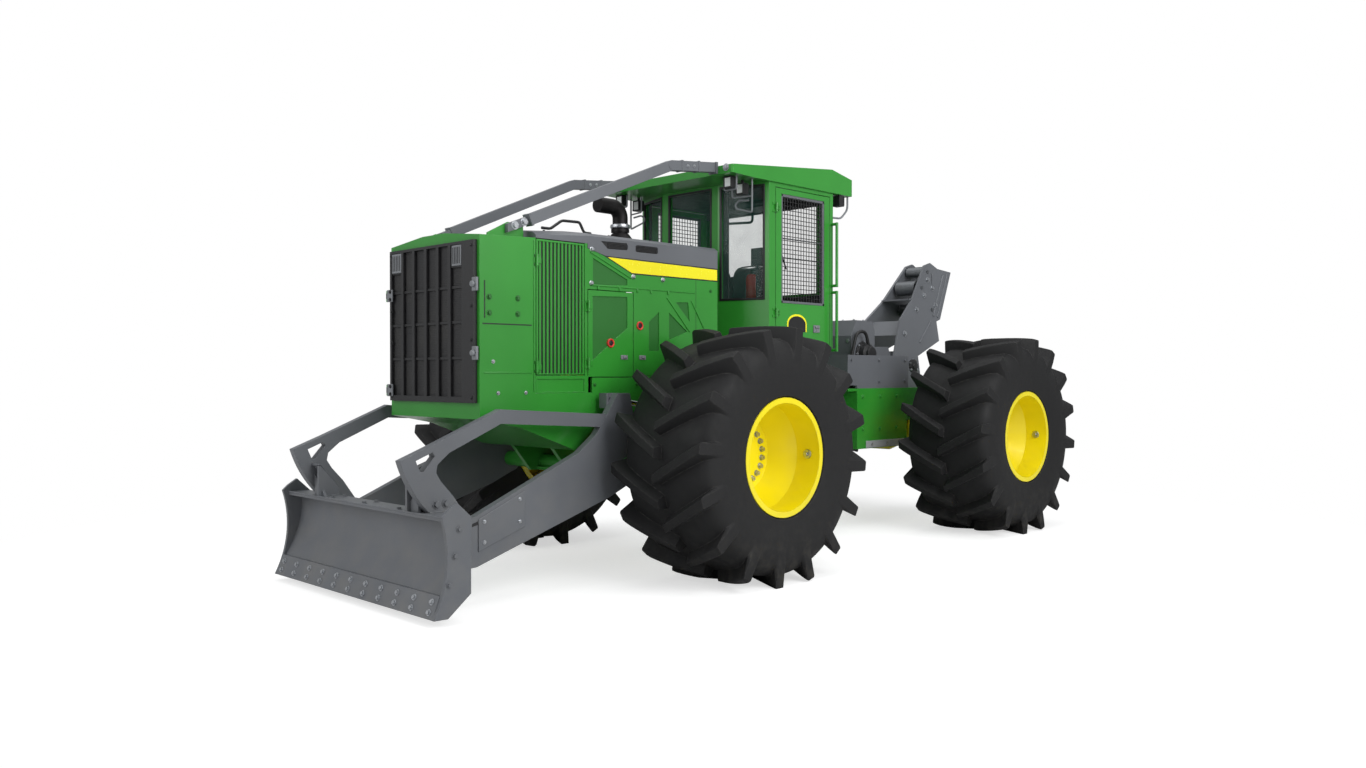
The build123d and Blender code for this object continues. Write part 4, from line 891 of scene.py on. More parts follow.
class Hardware:
    """Bolts, rows and rings, each grown by its own tree."""

    WASHER_HEIGHT = 0.006
    WASHER_SIDES = 14
    MAX_SPIN = 1.04
    SPIN_SEED = 7

    def __init__(self) -> None:
        """Builds the three trees."""
        self.bolt_tree = self.make_bolts()
        self.row_tree = self.make_rows()
        self.ring_tree = self.make_rings()

    def make_bolts(self) -> Recipe:
        """The tree that sets a hexagon head and washer on each point, along its aim."""
        r = Recipe("bolt_heads", [("Radius", "NodeSocketFloat"), ("Height", "NodeSocketFloat"),
                                  ("Washer", "NodeSocketFloat")])
        head = r.add("GeometryNodeMeshCylinder", sockets={"Vertices": 6, "Radius": r.given("Radius"),
                                                          "Depth": r.given("Height")})
        lift = r.add("ShaderNodeMath", {"operation": "MULTIPLY_ADD"}, {0: r.given("Height"), 1: 0.5,
                                                                        2: self.WASHER_HEIGHT / 2})
        up = r.add("ShaderNodeCombineXYZ", sockets={2: lift})
        raised = r.add("GeometryNodeTransform", sockets={0: head, "Translation": up})
        washer = r.add("GeometryNodeMeshCylinder", sockets={"Vertices": self.WASHER_SIDES, "Radius": r.given("Washer"),
                                                            "Depth": self.WASHER_HEIGHT})
        both = r.add("GeometryNodeJoinGeometry", sockets={0: raised})
        r.tree.links.new(washer.outputs[0], both.inputs[0])
        aim = r.add("GeometryNodeInputNamedAttribute", {"data_type": "FLOAT_VECTOR"}, {"Name": "aim"})
        turn = r.add("FunctionNodeAlignRotationToVector", {"axis": "Z"}, {"Vector": aim})
        spin = r.add("FunctionNodeRandomValue", {"data_type": "FLOAT"}, {"Min": 0.0, "Max": self.MAX_SPIN,
                                                                              "Seed": self.SPIN_SEED})
        about = r.add("ShaderNodeCombineXYZ", sockets={2: spin.outputs[1]})
        aimed = r.add("FunctionNodeRotateRotation", {"rotation_space": "LOCAL"}, {0: turn, 1: about})
        r.end(r.add("GeometryNodeInstanceOnPoints", sockets={"Points": r.given("Geometry"), "Instance": both,
                                                             "Rotation": aimed}))
        return r

    def make_rows(self) -> Recipe:
        """The tree that repeats a piece along a row."""
        r = Recipe("rows", [("Count", "NodeSocketInt"), ("Step", "NodeSocketVector")])
        line = r.add("GeometryNodeMeshLine", {"mode": "OFFSET"},
                     {"Count": r.given("Count"), "Offset": r.given("Step")})
        r.end(r.add("GeometryNodeInstanceOnPoints", sockets={"Points": line, "Instance": r.given("Geometry")}))
        return r

    def make_rings(self) -> Recipe:
        """The tree that repeats a piece in a ring about the X axis."""
        r = Recipe("rings", [("Count", "NodeSocketInt"), ("Start", "NodeSocketFloat"), ("Turn", "NodeSocketFloat")])
        line = r.add("GeometryNodeMeshLine", {"mode": "OFFSET"}, {"Count": r.given("Count"), "Offset": (0, 0, 0)})
        index = r.add("GeometryNodeInputIndex")
        angle = r.add("ShaderNodeMath", {"operation": "MULTIPLY_ADD"}, {0: index, 1: r.given("Turn"),
                                                                        2: r.given("Start")})
        about = r.add("ShaderNodeCombineXYZ", sockets={0: angle})
        r.end(r.add("GeometryNodeInstanceOnPoints", sockets={"Points": line, "Instance": r.given("Geometry"),
                                                             "Rotation": about}))
        return r

    def bolts(self, name: str, places: Iterable[tuple[Vector, Sequence[float]]], size: Fastener, body: str,
              finish: Finish = Finish.ZINC) -> bpy.types.Object:
        """Sets bolt heads.

        Args:
            name: the piece's name.
            places: a point on the surface and the direction out of it, for each head.
            size: the heads' size.
            body: the CAD body that carries them.
            finish: their finish.

        Returns:
            The piece.
        """
        points, aims = zip(*places)
        mesh = bpy.data.meshes.new(name)
        mesh.from_pydata([tuple(point) for point in points], [], [])
        aim = mesh.attributes.new("aim", "FLOAT_VECTOR", "POINT")
        aim.data.foreach_set("vector", [float(c) for a in aims for c in a])
        radius, height, washer = size.value
        made = self.bolt_tree.grow(mesh, finish, {"Radius": radius, "Height": height, "Washer": washer})
        return hang(name, made, finish, body, smooth=20)

    def bolts_both(self, name: str, places: Sequence[tuple[Vector, Sequence[float]]], size: Fastener, body: str,
                   finish: Finish = Finish.ZINC) -> None:
        """Sets bolt heads on the left and their mirror image on the right.

        Args:
            name: the pieces' name, before their side.
            places: a point on the left and the direction out of it, for each head.
            size: the heads' size.
            body: the CAD body, with {} where the side stands.
            finish: their finish.
        """
        for side_name, side in SIDES:
            turned = [(Vector((p.x * side, p.y, p.z)), (a[0] * side, a[1], a[2])) for p, a in places]
            self.bolts(f"{name}_{side_name}", turned, size, body.format(side_name), finish)

    def row(self, name: str, shape: Shape, finish: Finish, body: str, count: int, step: Sequence[float],
            bevel: float = 0.0) -> bpy.types.Object:
        """Repeats a shape in a straight row.

        Args:
            name: the piece's name.
            shape: the shape, at its first place.
            finish: its finish.
            body: the CAD body that carries it.
            count: how many stand in a row.
            step: from one to the next.
            bevel: the width of the rounded edges.

        Returns:
            The piece.
        """
        made = self.row_tree.grow(shape.mesh(name), finish, {"Count": count, "Step": step})
        return hang(name, made, finish, body, bevel)

    def ring(self, mesh: bpy.types.Mesh, finish: Finish, count: int, start: float = 0.0) -> bpy.types.Mesh:
        """Repeats a mesh in a ring about the X axis.

        Args:
            mesh: the mesh, at its first place.
            finish: its finish.
            count: how many there are.
            start: the first one's turn, in radians.

        Returns:
            The mesh of the whole ring.
        """
        return self.ring_tree.grow(mesh, finish, {"Count": count, "Start": start, "Turn": 2 * math.pi / count})


# Sub-assemblies

@dataclass
class Wheel:
    """One tyre with its lugs, and the trim of its rim."""

    end: str
    side_name: str
    side: int
    tip_r: float = 0.9495
    crown_r: float = 0.871
    lug_count: int = 16
    lug_sweep: float = 0.23
    half: float = 0.44
    rim_studs: int = 20
    stud_r: float = 0.206
    bead_x: float = 0.384
    bead_r: float = 0.412

    @property
    def name(self) -> str:
        """The wheel's end and side."""
        return f"{self.end}_{self.side_name}"

    @property
    def centre(self) -> Vector:
        """The wheel's centre, as for a left wheel."""
        low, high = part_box(f"tyre_{self.name}")
        middle = (low + high) / 2
        return Vector((abs(middle.x), middle.y, middle.z))

    def carcass(self) -> list[tuple[float, float]]:
        """The section of the casing as (x, radius), closed."""
        outer = [
            (self.bead_x - 0.004, self.bead_r), (self.bead_x, 0.432), (0.397, 0.441), (0.408, 0.446),
            (0.420, 0.50), (0.431, 0.57), (0.4375, 0.64), (0.436, 0.70), (0.428, 0.75), (0.412, 0.795),
            (0.385, 0.83), (0.34, 0.852), (0.24, 0.865), (0.12, self.crown_r - 0.001), (0.0, self.crown_r),
        ]
        return outer + [(-x, r) for x, r in reversed(outer[:-1])]

    def lug(self) -> bpy.types.Mesh:
        """One lug of the outer half, about the wheel's centre, at the top of the tyre."""
        top = self.tip_r
        spine = [
            # base x, base r, top x, top r, half width
            (-0.014, 0.862, -0.010, top - 0.001, 0.036),
            (0.05, 0.862, 0.05, top, 0.037),
            (0.12, 0.861, 0.12, top, 0.037),
            (0.20, 0.858, 0.20, top, 0.038),
            (0.28, 0.850, 0.28, top - 0.001, 0.039),
            (0.345, 0.838, 0.35, top - 0.003, 0.040),
            (0.39, 0.815, 0.405, top - 0.006, 0.040),
            (0.415, 0.775, 0.436, top - 0.012, 0.040),
            (0.424, 0.74, 0.4395, 0.86, 0.038),
            (0.430, 0.70, 0.4395, 0.775, 0.035),
            (0.431, 0.67, 0.438, 0.705, 0.029),
        ]
        shape = Shape()
        rings = []
        for base_x, base_r, top_x, top_r, half in spine:
            centre = math.asin(self.lug_sweep * (0.5 - top_x / self.half) / 0.93)
            ring = []
            for x, r, width in ((base_x, base_r, -1.45), (top_x, top_r - 0.012, -1.02), (top_x, top_r, -0.8),
                                (top_x, top_r, 0.8), (top_x, top_r - 0.012, 1.02), (base_x, base_r, 1.45)):
                a = centre + half * width / r
                ring.append(Vector((x, -r * math.sin(a), r * math.cos(a))))
            rings.append(ring)
        shape.skin(rings)
        return shape.mesh("lug")

    def build_tyre(self, hardware: Hardware) -> None:
        """Builds the tyre in place of the CAD one."""
        casing = Shape()
        casing.lathe(self.carcass(), Vector((0, 0, 0)), 96)
        whole = bmesh.new()
        whole.from_mesh(casing.mesh("casing"))
        for half, start in ((1, 0.0), (-1, math.pi / self.lug_count)):
            lug = self.lug()
            if half < 0:
                lug.transform(Matrix.Scale(-1, 4, (1, 0, 0)))
                lug.flip_normals()
            whole.from_mesh(hardware.ring(lug, Finish.TYRE, self.lug_count, start))
        name = f"tyre_tread_{self.name}"
        mesh = bpy.data.meshes.new(name)
        whole.to_mesh(mesh)
        whole.free()
        mesh.transform(Matrix.Translation(self.centre))
        if self.side < 0:
            mesh.transform(Matrix.Scale(-1, 4, (1, 0, 0)))
            mesh.flip_normals()
        piece = hang(name, mesh, Finish.TYRE, f"wheel_{self.name}", smooth=38)
        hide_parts(f"tyre_{self.name}")

    def build_rim_trim(self, hardware: Hardware) -> None:
        """Builds the studs on the hub, its cap and the plug in the rim."""
        body = f"wheel_{self.name}"
        face = self.centre + Vector((0.006, 0, 0))
        places = []
        for s, c in circle(self.stud_r, self.rim_studs, 0.5):
            spot = self.centre + Vector((-0.008, s, c))
            places.append((Vector((spot.x * self.side, spot.y, spot.z)), (self.side, 0, 0)))
        hardware.bolts(f"wheel_studs_{self.name}", places, Fastener.STUD, body)
        Shape(self.side).lathe([(0.0, 0.0), (0.0, 0.141), (0.004, 0.145), (0.008, 0.141), (0.009, 0.0)], face, 40) \
            .piece(f"hub_cap_{self.name}", Finish.YELLOW, body)
        root, collar, tip = (self.centre + Vector((0.287, 0.393 - rise, 0.0)) for rise in (0, 0.012, 0.03))
        Shape(self.side).bar(root, collar, 0.036, 24, 0.034).bar(collar, tip, 0.017, 6) \
            .piece(f"rim_plug_{self.name}", Finish.ZINC, body, 0.002)

    def build(self, hardware: Hardware) -> None:
        """Builds the whole wheel."""
        self.build_tyre(hardware)
        self.build_rim_trim(hardware)


@dataclass
class Grille:
    """The grille door's screen, lamp boxes, latches, hinge leaves and bolts."""

    face_y: float = -1.863
    z0: float = 1.324
    z1: float = 2.427
    hinge_z: tuple[float, float] = (2.10, 1.40)
    body: str = "grille"

    def build_screen(self) -> None:
        """Builds the fine screen behind the ribs."""
        Shape().block(-0.522, 0.407, self.face_y + 0.022, self.face_y + 0.026, self.z0 + 0.038, self.z1 - 0.018) \
            .piece("grille_screen", Finish.SCREEN, self.body)

    def build_lamps(self, hardware: Hardware) -> None:
        """Builds the two slotted lamp boxes in the grille's top corners; the slots are dark bars, which paint the shade
        inside them.
        """
        y = self.face_y
        for name, x0, x1 in (("far", -0.508, -0.38), ("near", 0.288, 0.402)):
            Shape().block(x0, x1, y - 0.004, y + 0.016, 2.262, 2.402) \
                .piece(f"grille_lamp_box_{name}", Finish.GREY, self.body, 0.004)
            # Dark bars on each box's face: painted shade inside the slots.
            slot = Shape().block(x0 + 0.014, x0 + 0.022, y - 0.0055, y - 0.001, 2.276, 2.388)
            hardware.row(f"grille_lamp_slot_shade_{name}", slot, Finish.TRIM, self.body, 5,
                         ((x1 - x0 - 0.036) / 4, 0, 0))

    def build(self, hardware: Hardware) -> None:
        """Builds everything on the grille door."""
        self.build_screen()
        self.build_lamps(hardware)
        y = self.face_y
        latches = Shape()
        for z in (2.124, 1.661):
            latches.block(0.548, 0.600, y - 0.016, y + 0.004, z - 0.046, z + 0.046)
            latches.lathe([(-0.040, 0.0), (-0.040, 0.017), (-0.034, 0.020), (-0.022, 0.020), (-0.014, 0.012),
                           (-0.014, 0.0)], at(0.574, y, z), 20, "Y")
        latches.piece("grille_latches", Finish.GREY, self.body, 0.004)
        hinges = Shape()
        for z in self.hinge_z:
            hinges.block(-0.575, -0.50, y - 0.008, y + 0.002, z - 0.045, z + 0.045)
        hinges.piece("grille_hinge_leaves", Finish.GREY, self.body, 0.003)
        places = [(at(s * 0.52, y, z), (0, -1, 0)) for s in (-1, 1) for z in (1.36, 1.75, 1.98, 2.39)]
        places += [(at(-0.525, y - 0.008, z + dz), (0, -1, 0)) for z in self.hinge_z for dz in (-0.028, 0.028)]
        hardware.bolts("grille_bolts", places, Fastener.SMALL, self.body, Finish.BLACK)


@dataclass
class NoseTrim:
    """Bolts, seams and ribs on the nose beside the grille."""

    side_x: float = 0.5743
    body: str = "front_body"

    def build(self, hardware: Hardware) -> None:
        """Builds the nose's bolts, seams and ribs."""
        x = self.side_x
        places = on_side(x, product((-1.755, -1.518), (2.044, 1.936)))
        # The nose bolts take the darker green: painted shade.
        hardware.bolts_both("nose_bolts", places, Fastener.MEDIUM, self.body, Finish.RECESS)
        small = on_side(x, ((-1.724, 1.605), (-1.683, 1.39), (-1.45, 1.39)))
        hardware.bolts_both("nose_small_bolts", small, Fastener.SMALL, self.body)
        both("nose_seam", lambda s: s.block(x - 0.001, x + 0.0015, -1.81, -1.40, 1.858, 1.866)
             .block(x - 0.001, x + 0.0015, -1.797, -1.788, 1.90, 2.154), Finish.TRIM, self.body)
        both("nose_rib", lambda s: s.block(x - 0.002, x + 0.006, -1.385, -1.372, 1.40, 2.46)
             .strip((-1.80, 1.53), (-1.40, 1.53), 0.010, x - 0.002, x + 0.004), Finish.GREEN, self.body, 0.002)


@dataclass
class HoodTrim:
    """The hood's stripe, vents and handle, and the exhaust's clamp."""

    side_x: float = 0.5743
    pipe_x: float = 0.125
    handle_x: float = 0.3
    body: str = "front_body"

    def build_stripe(self, name: str, side: int) -> None:
        """Builds the yellow stripe with its thin dark border on one side."""
        x = self.side_x
        border = ((-0.735, 2.402), (-0.447, 2.281), (0.505, 2.281), (0.505, 2.388))
        Shape(side).prism(border, "yz", x - 0.001, x + 0.0012) \
            .piece(f"stripe_border_{name}", Finish.TRIM, self.body)
        Shape(side).prism(((-0.698, 2.393), (-0.452, 2.290), (0.498, 2.290), (0.498, 2.379)), "yz", x, x + 0.002) \
            .piece(f"stripe_{name}", Finish.STRIPE, self.body)

    def build_handle(self) -> None:
        """Builds the grab handle on top of the hood."""
        run = ((-1.10, 2.6), (-1.02, 2.6), (-0.91, 2.672), (-0.74, 2.676), (-0.695, 2.60), (-0.63, 2.6))
        Shape().tube([at(self.handle_x, y, z) for y, z in run], 0.011, 10, 0.02) \
            .piece("hood_handle", Finish.TRIM, self.body)

    def build_exhaust(self) -> None:
        """Builds the clamp round the exhaust pipe."""
        Shape().lathe([(0.0, 0.063), (0.0, 0.078), (0.012, 0.082), (0.028, 0.078), (0.028, 0.063)],
                      at(self.pipe_x, -0.17, 2.70), 40, "Z").piece("exhaust_clamp", Finish.ZINC, self.body)

    def build_vents(self, hardware: Hardware) -> None:
        """Builds a dark sheet inside each of the two vents on either side, which paints the shade in them, and the
        vents' slats.
        """
        x = self.side_x
        vents = (((-0.757, 2.506), (-0.506, 2.510), (-0.494, 2.499), (-0.494, 2.471), (-0.506, 2.461),
                  (-0.692, 2.456)),
                 ((-0.399, 2.506), (-0.188, 2.506), (-0.177, 2.496), (-0.177, 2.467), (-0.188, 2.457), (-0.399, 2.455),
                  (-0.410, 2.465), (-0.410, 2.496)))
        # Dark sheets in the vent openings: painted shade.
        both("vent_shade_sheet", lambda s: s.prism(vents[0], "yz", x - 0.0085, x - 0.0072)
             .prism(vents[1], "yz", x - 0.0085, x - 0.0072), Finish.TRIM, self.body)
        for name, side in SIDES:
            for label, y0, y1 in (("front", -0.69, -0.498), ("rear", -0.406, -0.181)):
                slat = Shape(side).block(x - 0.008, x - 0.0005, y0, y1, 2.4645, 2.4685)
                hardware.row(f"vent_slats_{label}_{name}", slat, Finish.BLACK, self.body, 4, (0, 0, 0.0105), 0.0008)

    def build(self, hardware: Hardware) -> None:
        """Builds all of the hood's trim."""
        for name, side in SIDES:
            self.build_stripe(name, side)
        self.build_handle()
        self.build_exhaust()
        self.build_vents(hardware)
        places = [(at(0.42, y, 2.573), (0.42, 0, 1)) for y in (-0.55, -0.1, 0.35)]
        hardware.bolts_both("hood_bolts", places, Fastener.SMALL, self.body, Finish.BLACK)
        feet = [(at(self.handle_x, y, z), UP) for y, z in ((-1.08, 2.575), (-0.65, 2.595))]
        hardware.bolts("handle_bolts", feet, Fastener.SMALL, self.body, Finish.BLACK)


@dataclass
class CabTrim:
    """Door screens, window seals, wiper, lamps, blank badges and latches of the cab."""

    half: float = 0.78
    pitch: float = 0.0376
    wire_r: float = 0.0035
    body: str = "front_body"

    def build_door_mesh(self, hardware: Hardware, name: str, side: int) -> None:
        """Builds the welded wire mesh in one door's window."""
        body = f"cab_access_{name}"
        y0, y1, z0, z1 = 1.081, 1.677, 2.125, 3.055
        x = (self.half - 0.012) * side
        columns = round((y1 - y0) / self.pitch)
        rows = round((z1 - z0) / self.pitch)
        first_y, first_z, inner = y0 + self.pitch / 2, z0 + self.pitch / 2, x - 0.007 * side
        upright = Shape().bar(at(x, first_y, z0), at(x, first_y, z1), self.wire_r, 6)
        hardware.row(f"door_mesh_upright_{name}", upright, Finish.BLACK, body, columns, (0, (y1 - y0) / columns, 0))
        across = Shape().bar(at(inner, y0, first_z), at(inner, y1, first_z), self.wire_r, 6)
        hardware.row(f"door_mesh_across_{name}", across, Finish.BLACK, body, rows, (0, 0, (z1 - z0) / rows))
        border = Shape(side)
        for a0, a1, b0, b1 in ((y0, y1, z0, z0 + 0.022), (y0, y1, z1 - 0.022, z1),
                               (y0, y0 + 0.022, z0, z1), (y1 - 0.022, y1, z0, z1)):
            border.block(self.half - 0.03, self.half - 0.004, a0, a1, b0, b1)
        for z in (2.517, 2.683):
            border.bar(at(self.half - 0.034, y0, z), at(self.half - 0.034, y1, z), 0.006, 8)
        border.piece(f"door_window_frame_{name}", Finish.CHARCOAL, body, 0.003)

    def build_seals(self, hardware: Hardware) -> None:
        """Builds the rubber seals round the fixed windows and the rear wiper."""
        run = Vector((0.44, 0.158))
        along, length = run.normalized(), run.length
        edge = 0.014

        def frame_of(shape: Shape, start: tuple[float, float], way: Vector, u0: float, u1: float, z0: float,
                     z1: float) -> Shape:
            for u, rise in (((u0 - edge, u0 + 0.006), (z0, z1)), ((u1 - 0.006, u1 + edge), (z0, z1)),
                            ((u0 - edge, u1 + edge), (z0 - edge, z0 + 0.006)),
                            ((u0 - edge, u1 + edge), (z1 - 0.006, z1 + edge))):
                shape.wall(start, way, u, rise, -0.012, 0.006)
            return shape
        both("angled_seal", lambda s: frame_of(s, (0.34, 0.76), along, 0.03, length - 0.05, 2.16, 3.108),
             Finish.TRIM, self.body, 0.003)
        frame_of(Shape(), (0.0, 0.76), Vector((1, 0)), -0.255, 0.255, 2.60, 3.108) \
            .piece("front_seal", Finish.TRIM, self.body, 0.003)
        frame_of(Shape(), (0.0, 1.802), Vector((-1, 0)), -0.62, 0.62, 2.25, 3.05) \
            .piece("rear_seal", Finish.TRIM, self.body, 0.003)
        wiper = Shape()
        wiper.lathe([(0.0, 0.0), (0.0, 0.028), (0.022, 0.024), (0.026, 0.0)], at(0.0, 1.802, 3.085), 24, "Y")
        wiper.tube([at(0.0, 1.824, 3.085), at(0.02, 1.828, 3.02), at(0.14, 1.822, 2.72)], 0.006, 8, 0.02)
        wiper.tube([at(0.06, 1.813, 2.93), at(0.23, 1.813, 2.50)], 0.008, 8)
        wiper.piece("rear_wiper", Finish.TRIM, self.body)
        places = [(at(x, 1.802, z), (0, 1, 0)) for x in (-0.70, 0.70) for z in (1.80, 2.10, 2.65, 3.05)]
        hardware.bolts("cab_rear_bolts", places, Fastener.SMALL, self.body, Finish.GREEN)

    def build_lamps(self) -> None:
        """Builds the lenses, bezels and guard loops of the work lamps."""
        lamps = (("outer", 0.668, 0.56, 3.05, -1), ("inner", 0.64, 0.74, 3.02, -1), ("rear", 0.75, 1.914, 3.04, 1))
        for name, x, y, z, way in lamps:
            face = y + way * 0.031
            near, far = sorted((face - way * 0.002, face + way * 0.004))
            both(f"lamp_lens_{name}", lambda s: s.block(x - 0.033, x + 0.033, near, far, z + 0.010, z + 0.084)
                 .block(x - 0.033, x + 0.033, near - 0.001, far + 0.001, z + 0.045, z + 0.049),
                 Finish.BRIGHT, self.body, 0.002)
            low, high = sorted((face - way * 0.004, face + way * 0.009))

            def bezel(s: Shape) -> None:
                for x0, x1, z0, z1 in ((-0.043, 0.043, -0.001, 0.010), (-0.043, 0.043, 0.084, 0.095),
                                       (-0.043, -0.033, 0.010, 0.084), (0.033, 0.043, 0.010, 0.084)):
                    s.block(x + x0, x + x1, low, high, z + z0, z + z1)
            both(f"lamp_bezel_{name}", bezel, Finish.TRIM, self.body, 0.002)
        both("lamp_loops", lambda s: s.tube([at(0.707, 0.74, 2.967), at(0.605, 0.74, 2.976), at(0.556, 0.74, 2.945),
                                             at(0.574, 0.74, 2.909), at(0.746, 0.74, 2.864),
                                             at(0.746, 0.74, 3.15)], 0.008, 10, 0.018)
             .tube([at(0.56, 0.70, 3.15), at(0.56, 0.70, 2.998), at(0.746, 0.74, 2.998)], 0.007, 10, 0.02)
             .tube([at(0.60, 0.56, 3.15), at(0.60, 0.56, 3.036), at(0.735, 0.56, 3.036), at(0.735, 0.56, 3.15)],
                   0.007, 10, 0.02)
             .tube([at(0.772, 2.03, 3.15), at(0.772, 2.03, 3.02), at(0.772, 1.93, 2.93), at(0.772, 1.80, 2.925)],
                   0.009, 10, 0.04), Finish.GREY, self.body)

    def build_signs(self) -> None:
        """Builds the blank badge and the latch on each door."""
        turns = [math.pi * i / 14 for i in range(15)]
        arc = [(1.29 + 0.134 * math.cos(a), 1.955 + 0.082 * math.sin(a)) for a in turns]
        inner = [(1.29 + 0.117 * math.cos(a), 1.953 + 0.067 * math.sin(a)) for a in turns]
        both("door_badge_border", lambda s: s.prism([(1.424, 1.885), *arc, (1.156, 1.885)], "yz",
                                                    self.half - 0.001, self.half + 0.002),
             Finish.STRIPE, "cab_access_{}", 0.0005)
        both("door_badge", lambda s: s.prism([(1.407, 1.885), *inner, (1.173, 1.885)], "yz",
                                             self.half, self.half + 0.0032), Finish.TRIM, "cab_access_{}", 0.0005)
        both("door_latch", lambda s: s.block(self.half - 0.001, self.half + 0.010, 1.515, 1.60, 1.885, 1.950)
             .block(self.half + 0.008, self.half + 0.022, 1.528, 1.588, 1.925, 1.940)
             .bar(at(self.half + 0.009, 1.557, 1.903), at(self.half + 0.015, 1.557, 1.903), 0.009, 16),
             Finish.GREY, "cab_access_{}", 0.003)

    def build(self, hardware: Hardware) -> None:
        """Builds all of the cab's trim."""
        for name, side in SIDES:
            self.build_door_mesh(hardware, name, side)
        self.build_seals(hardware)
        self.build_lamps()
        self.build_signs()
        hinges = on_side(self.half + 0.006, [(1.038, z + dz) for z in (2.04, 2.93) for dz in (-0.012, 0.012)])
        hardware.bolts_both("cab_hinge_bolts", hinges, Fastener.SMALL, "cab_access_{}", Finish.GREEN)
        corner = [(at(0.731, 0.438, 3.197), (0, -1, 0))]
        hardware.bolts_both("roof_corner_bolt", corner, Fastener.LARGE, self.body)


@dataclass
class EngineSides:
    """What is on the engine's side panels and doors: recess floors, bars, knobs, latches and rings."""

    side_x: float = 0.5743
    depth: float = 0.0062
    body: str = "front_body"
    door: str = "engine_access_{}"

    def build_recesses(self) -> None:
        """Builds the floors of the pressed recesses in the darker green, which paints the shade in them, and a dark
        sheet behind the louvre door, which paints the shade behind its slats.
        """
        low, high = self.side_x - self.depth - 0.0015, self.side_x - self.depth
        fixed = (((-0.838, 2.374), (-0.499, 2.235), (-0.499, 2.196), (-0.838, 2.176)),
                 ((-0.271, 1.922), (-0.165, 2.002), (-0.165, 1.701), (-0.271, 1.700)),
                 ((0.026, 2.087), (0.158, 2.093), (0.176, 1.945)),
                 ((-0.053, 2.001), (0.145, 1.859), (-0.053, 1.791)))

        def floors(s: Shape) -> None:
            for outline in fixed:
                s.prism(outline, "yz", low, high)
        # The recess floors on the panel and on the door take the darker green: painted shade.
        both("panel_recesses", floors, Finish.RECESS, self.body)
        both("door_recess", lambda s: s.prism(((-0.841, 2.094), (-0.499, 2.104), (-0.499, 1.871), (-0.841, 1.624)),
                                              "yz", low, high), Finish.RECESS, self.door)
        # A dark sheet behind the louvre slats: painted shade.
        both("louvre_floor", lambda s: s.block(self.side_x - 0.0108, self.side_x - 0.0092, -1.341, -0.940, 1.525,
                                               2.457), Finish.TRIM, "louvre_{}")

    def build_bars(self) -> None:
        """Builds the raised bars and the seams."""
        low, high = self.side_x - 0.001, self.side_x + 0.006
        bars = (((-0.864, 2.421), (-0.459, 2.252), 0.016), ((-0.864, 2.176), (0.237, 2.176), 0.012),
                ((-0.08, 2.124), (0.178, 1.860), 0.014), ((0.193, 2.116), (0.341, 1.895), 0.014))

        def draw(s: Shape) -> None:
            for start, end, width in bars:
                s.strip(start, end, width, low, high)
        both("panel_bars", draw, Finish.GREEN, self.body, 0.003)

        def tabs(s: Shape) -> None:
            for y in (-0.79, -0.576, -0.393, -0.252, -0.065):
                s.block(low, high + 0.002, y - 0.009, y + 0.009, 2.146, 2.172)
        both("seam_tabs", tabs, Finish.GREEN, self.body, 0.002)
        both("panel_seams", lambda s: s.block(low, self.side_x + 0.0008, 0.2475, 0.2505, 1.40, 2.375)
             .block(low, self.side_x + 0.0008, -0.43, 0.2475, 1.506, 1.509), Finish.TRIM, self.body)

    def build_fittings(self, hardware: Hardware) -> None:
        """Builds the knobs, rings, latches and small bolts."""
        x = self.side_x
        knob = ((0.0, 0.0), (0.0, 0.019), (0.004, 0.019), (0.006, 0.015), (0.014, 0.014), (0.017, 0.010), (0.017, 0.0))

        def knobs(s: Shape) -> None:
            for y, z in ((-0.850, 2.440), (-0.855, 2.190), (-0.438, 2.263), (-0.124, 2.259)):
                s.lathe(knob, at(x, y, z), 24)
        both("panel_knobs", knobs, Finish.ZINC, self.body)
        ring = ((-0.008, 0.021), (-0.008, 0.034), (0.006, 0.034), (0.010, 0.030), (0.010, 0.025), (0.006, 0.021))
        core = ((-0.008, 0.0), (-0.008, 0.0212), (0.002, 0.0212), (0.004, 0.010), (0.004, 0.0))
        for name, y, z, body in (("door", -0.666, 1.752, self.door), ("panel", -0.37, 1.891, self.body)):
            both(f"red_ring_{name}", lambda s: s.lathe(ring, at(x, y, z), 32), Finish.RED, body)
            both(f"ring_core_{name}", lambda s: s.lathe(core, at(x, y, z), 24), Finish.TRIM, body)
        for name, y, body in (("door", -0.532, self.door), ("panel", -0.343, self.body)):
            both(f"side_latch_{name}", lambda s: s.block(x - 0.001, x + 0.006, y - 0.034, y + 0.034, 1.630, 1.664)
                 .block(x + 0.004, x + 0.013, y - 0.012, y + 0.022, 1.639, 1.655), Finish.GREY, body, 0.003)
        dots = on_side(x, ((-0.822, 1.442), (-0.40, 1.442), (0.05, 1.442), (0.42, 1.442),
                                                      (0.42, 2.20), (0.30, 1.60)))
        # These bolts take the darker green: painted shade.
        hardware.bolts_both("panel_bolts", dots, Fastener.SMALL, self.body, Finish.RECESS)

    def build(self, hardware: Hardware) -> None:
        """Builds everything on the engine's sides."""
        self.build_recesses()
        self.build_bars()
        self.build_fittings(hardware)


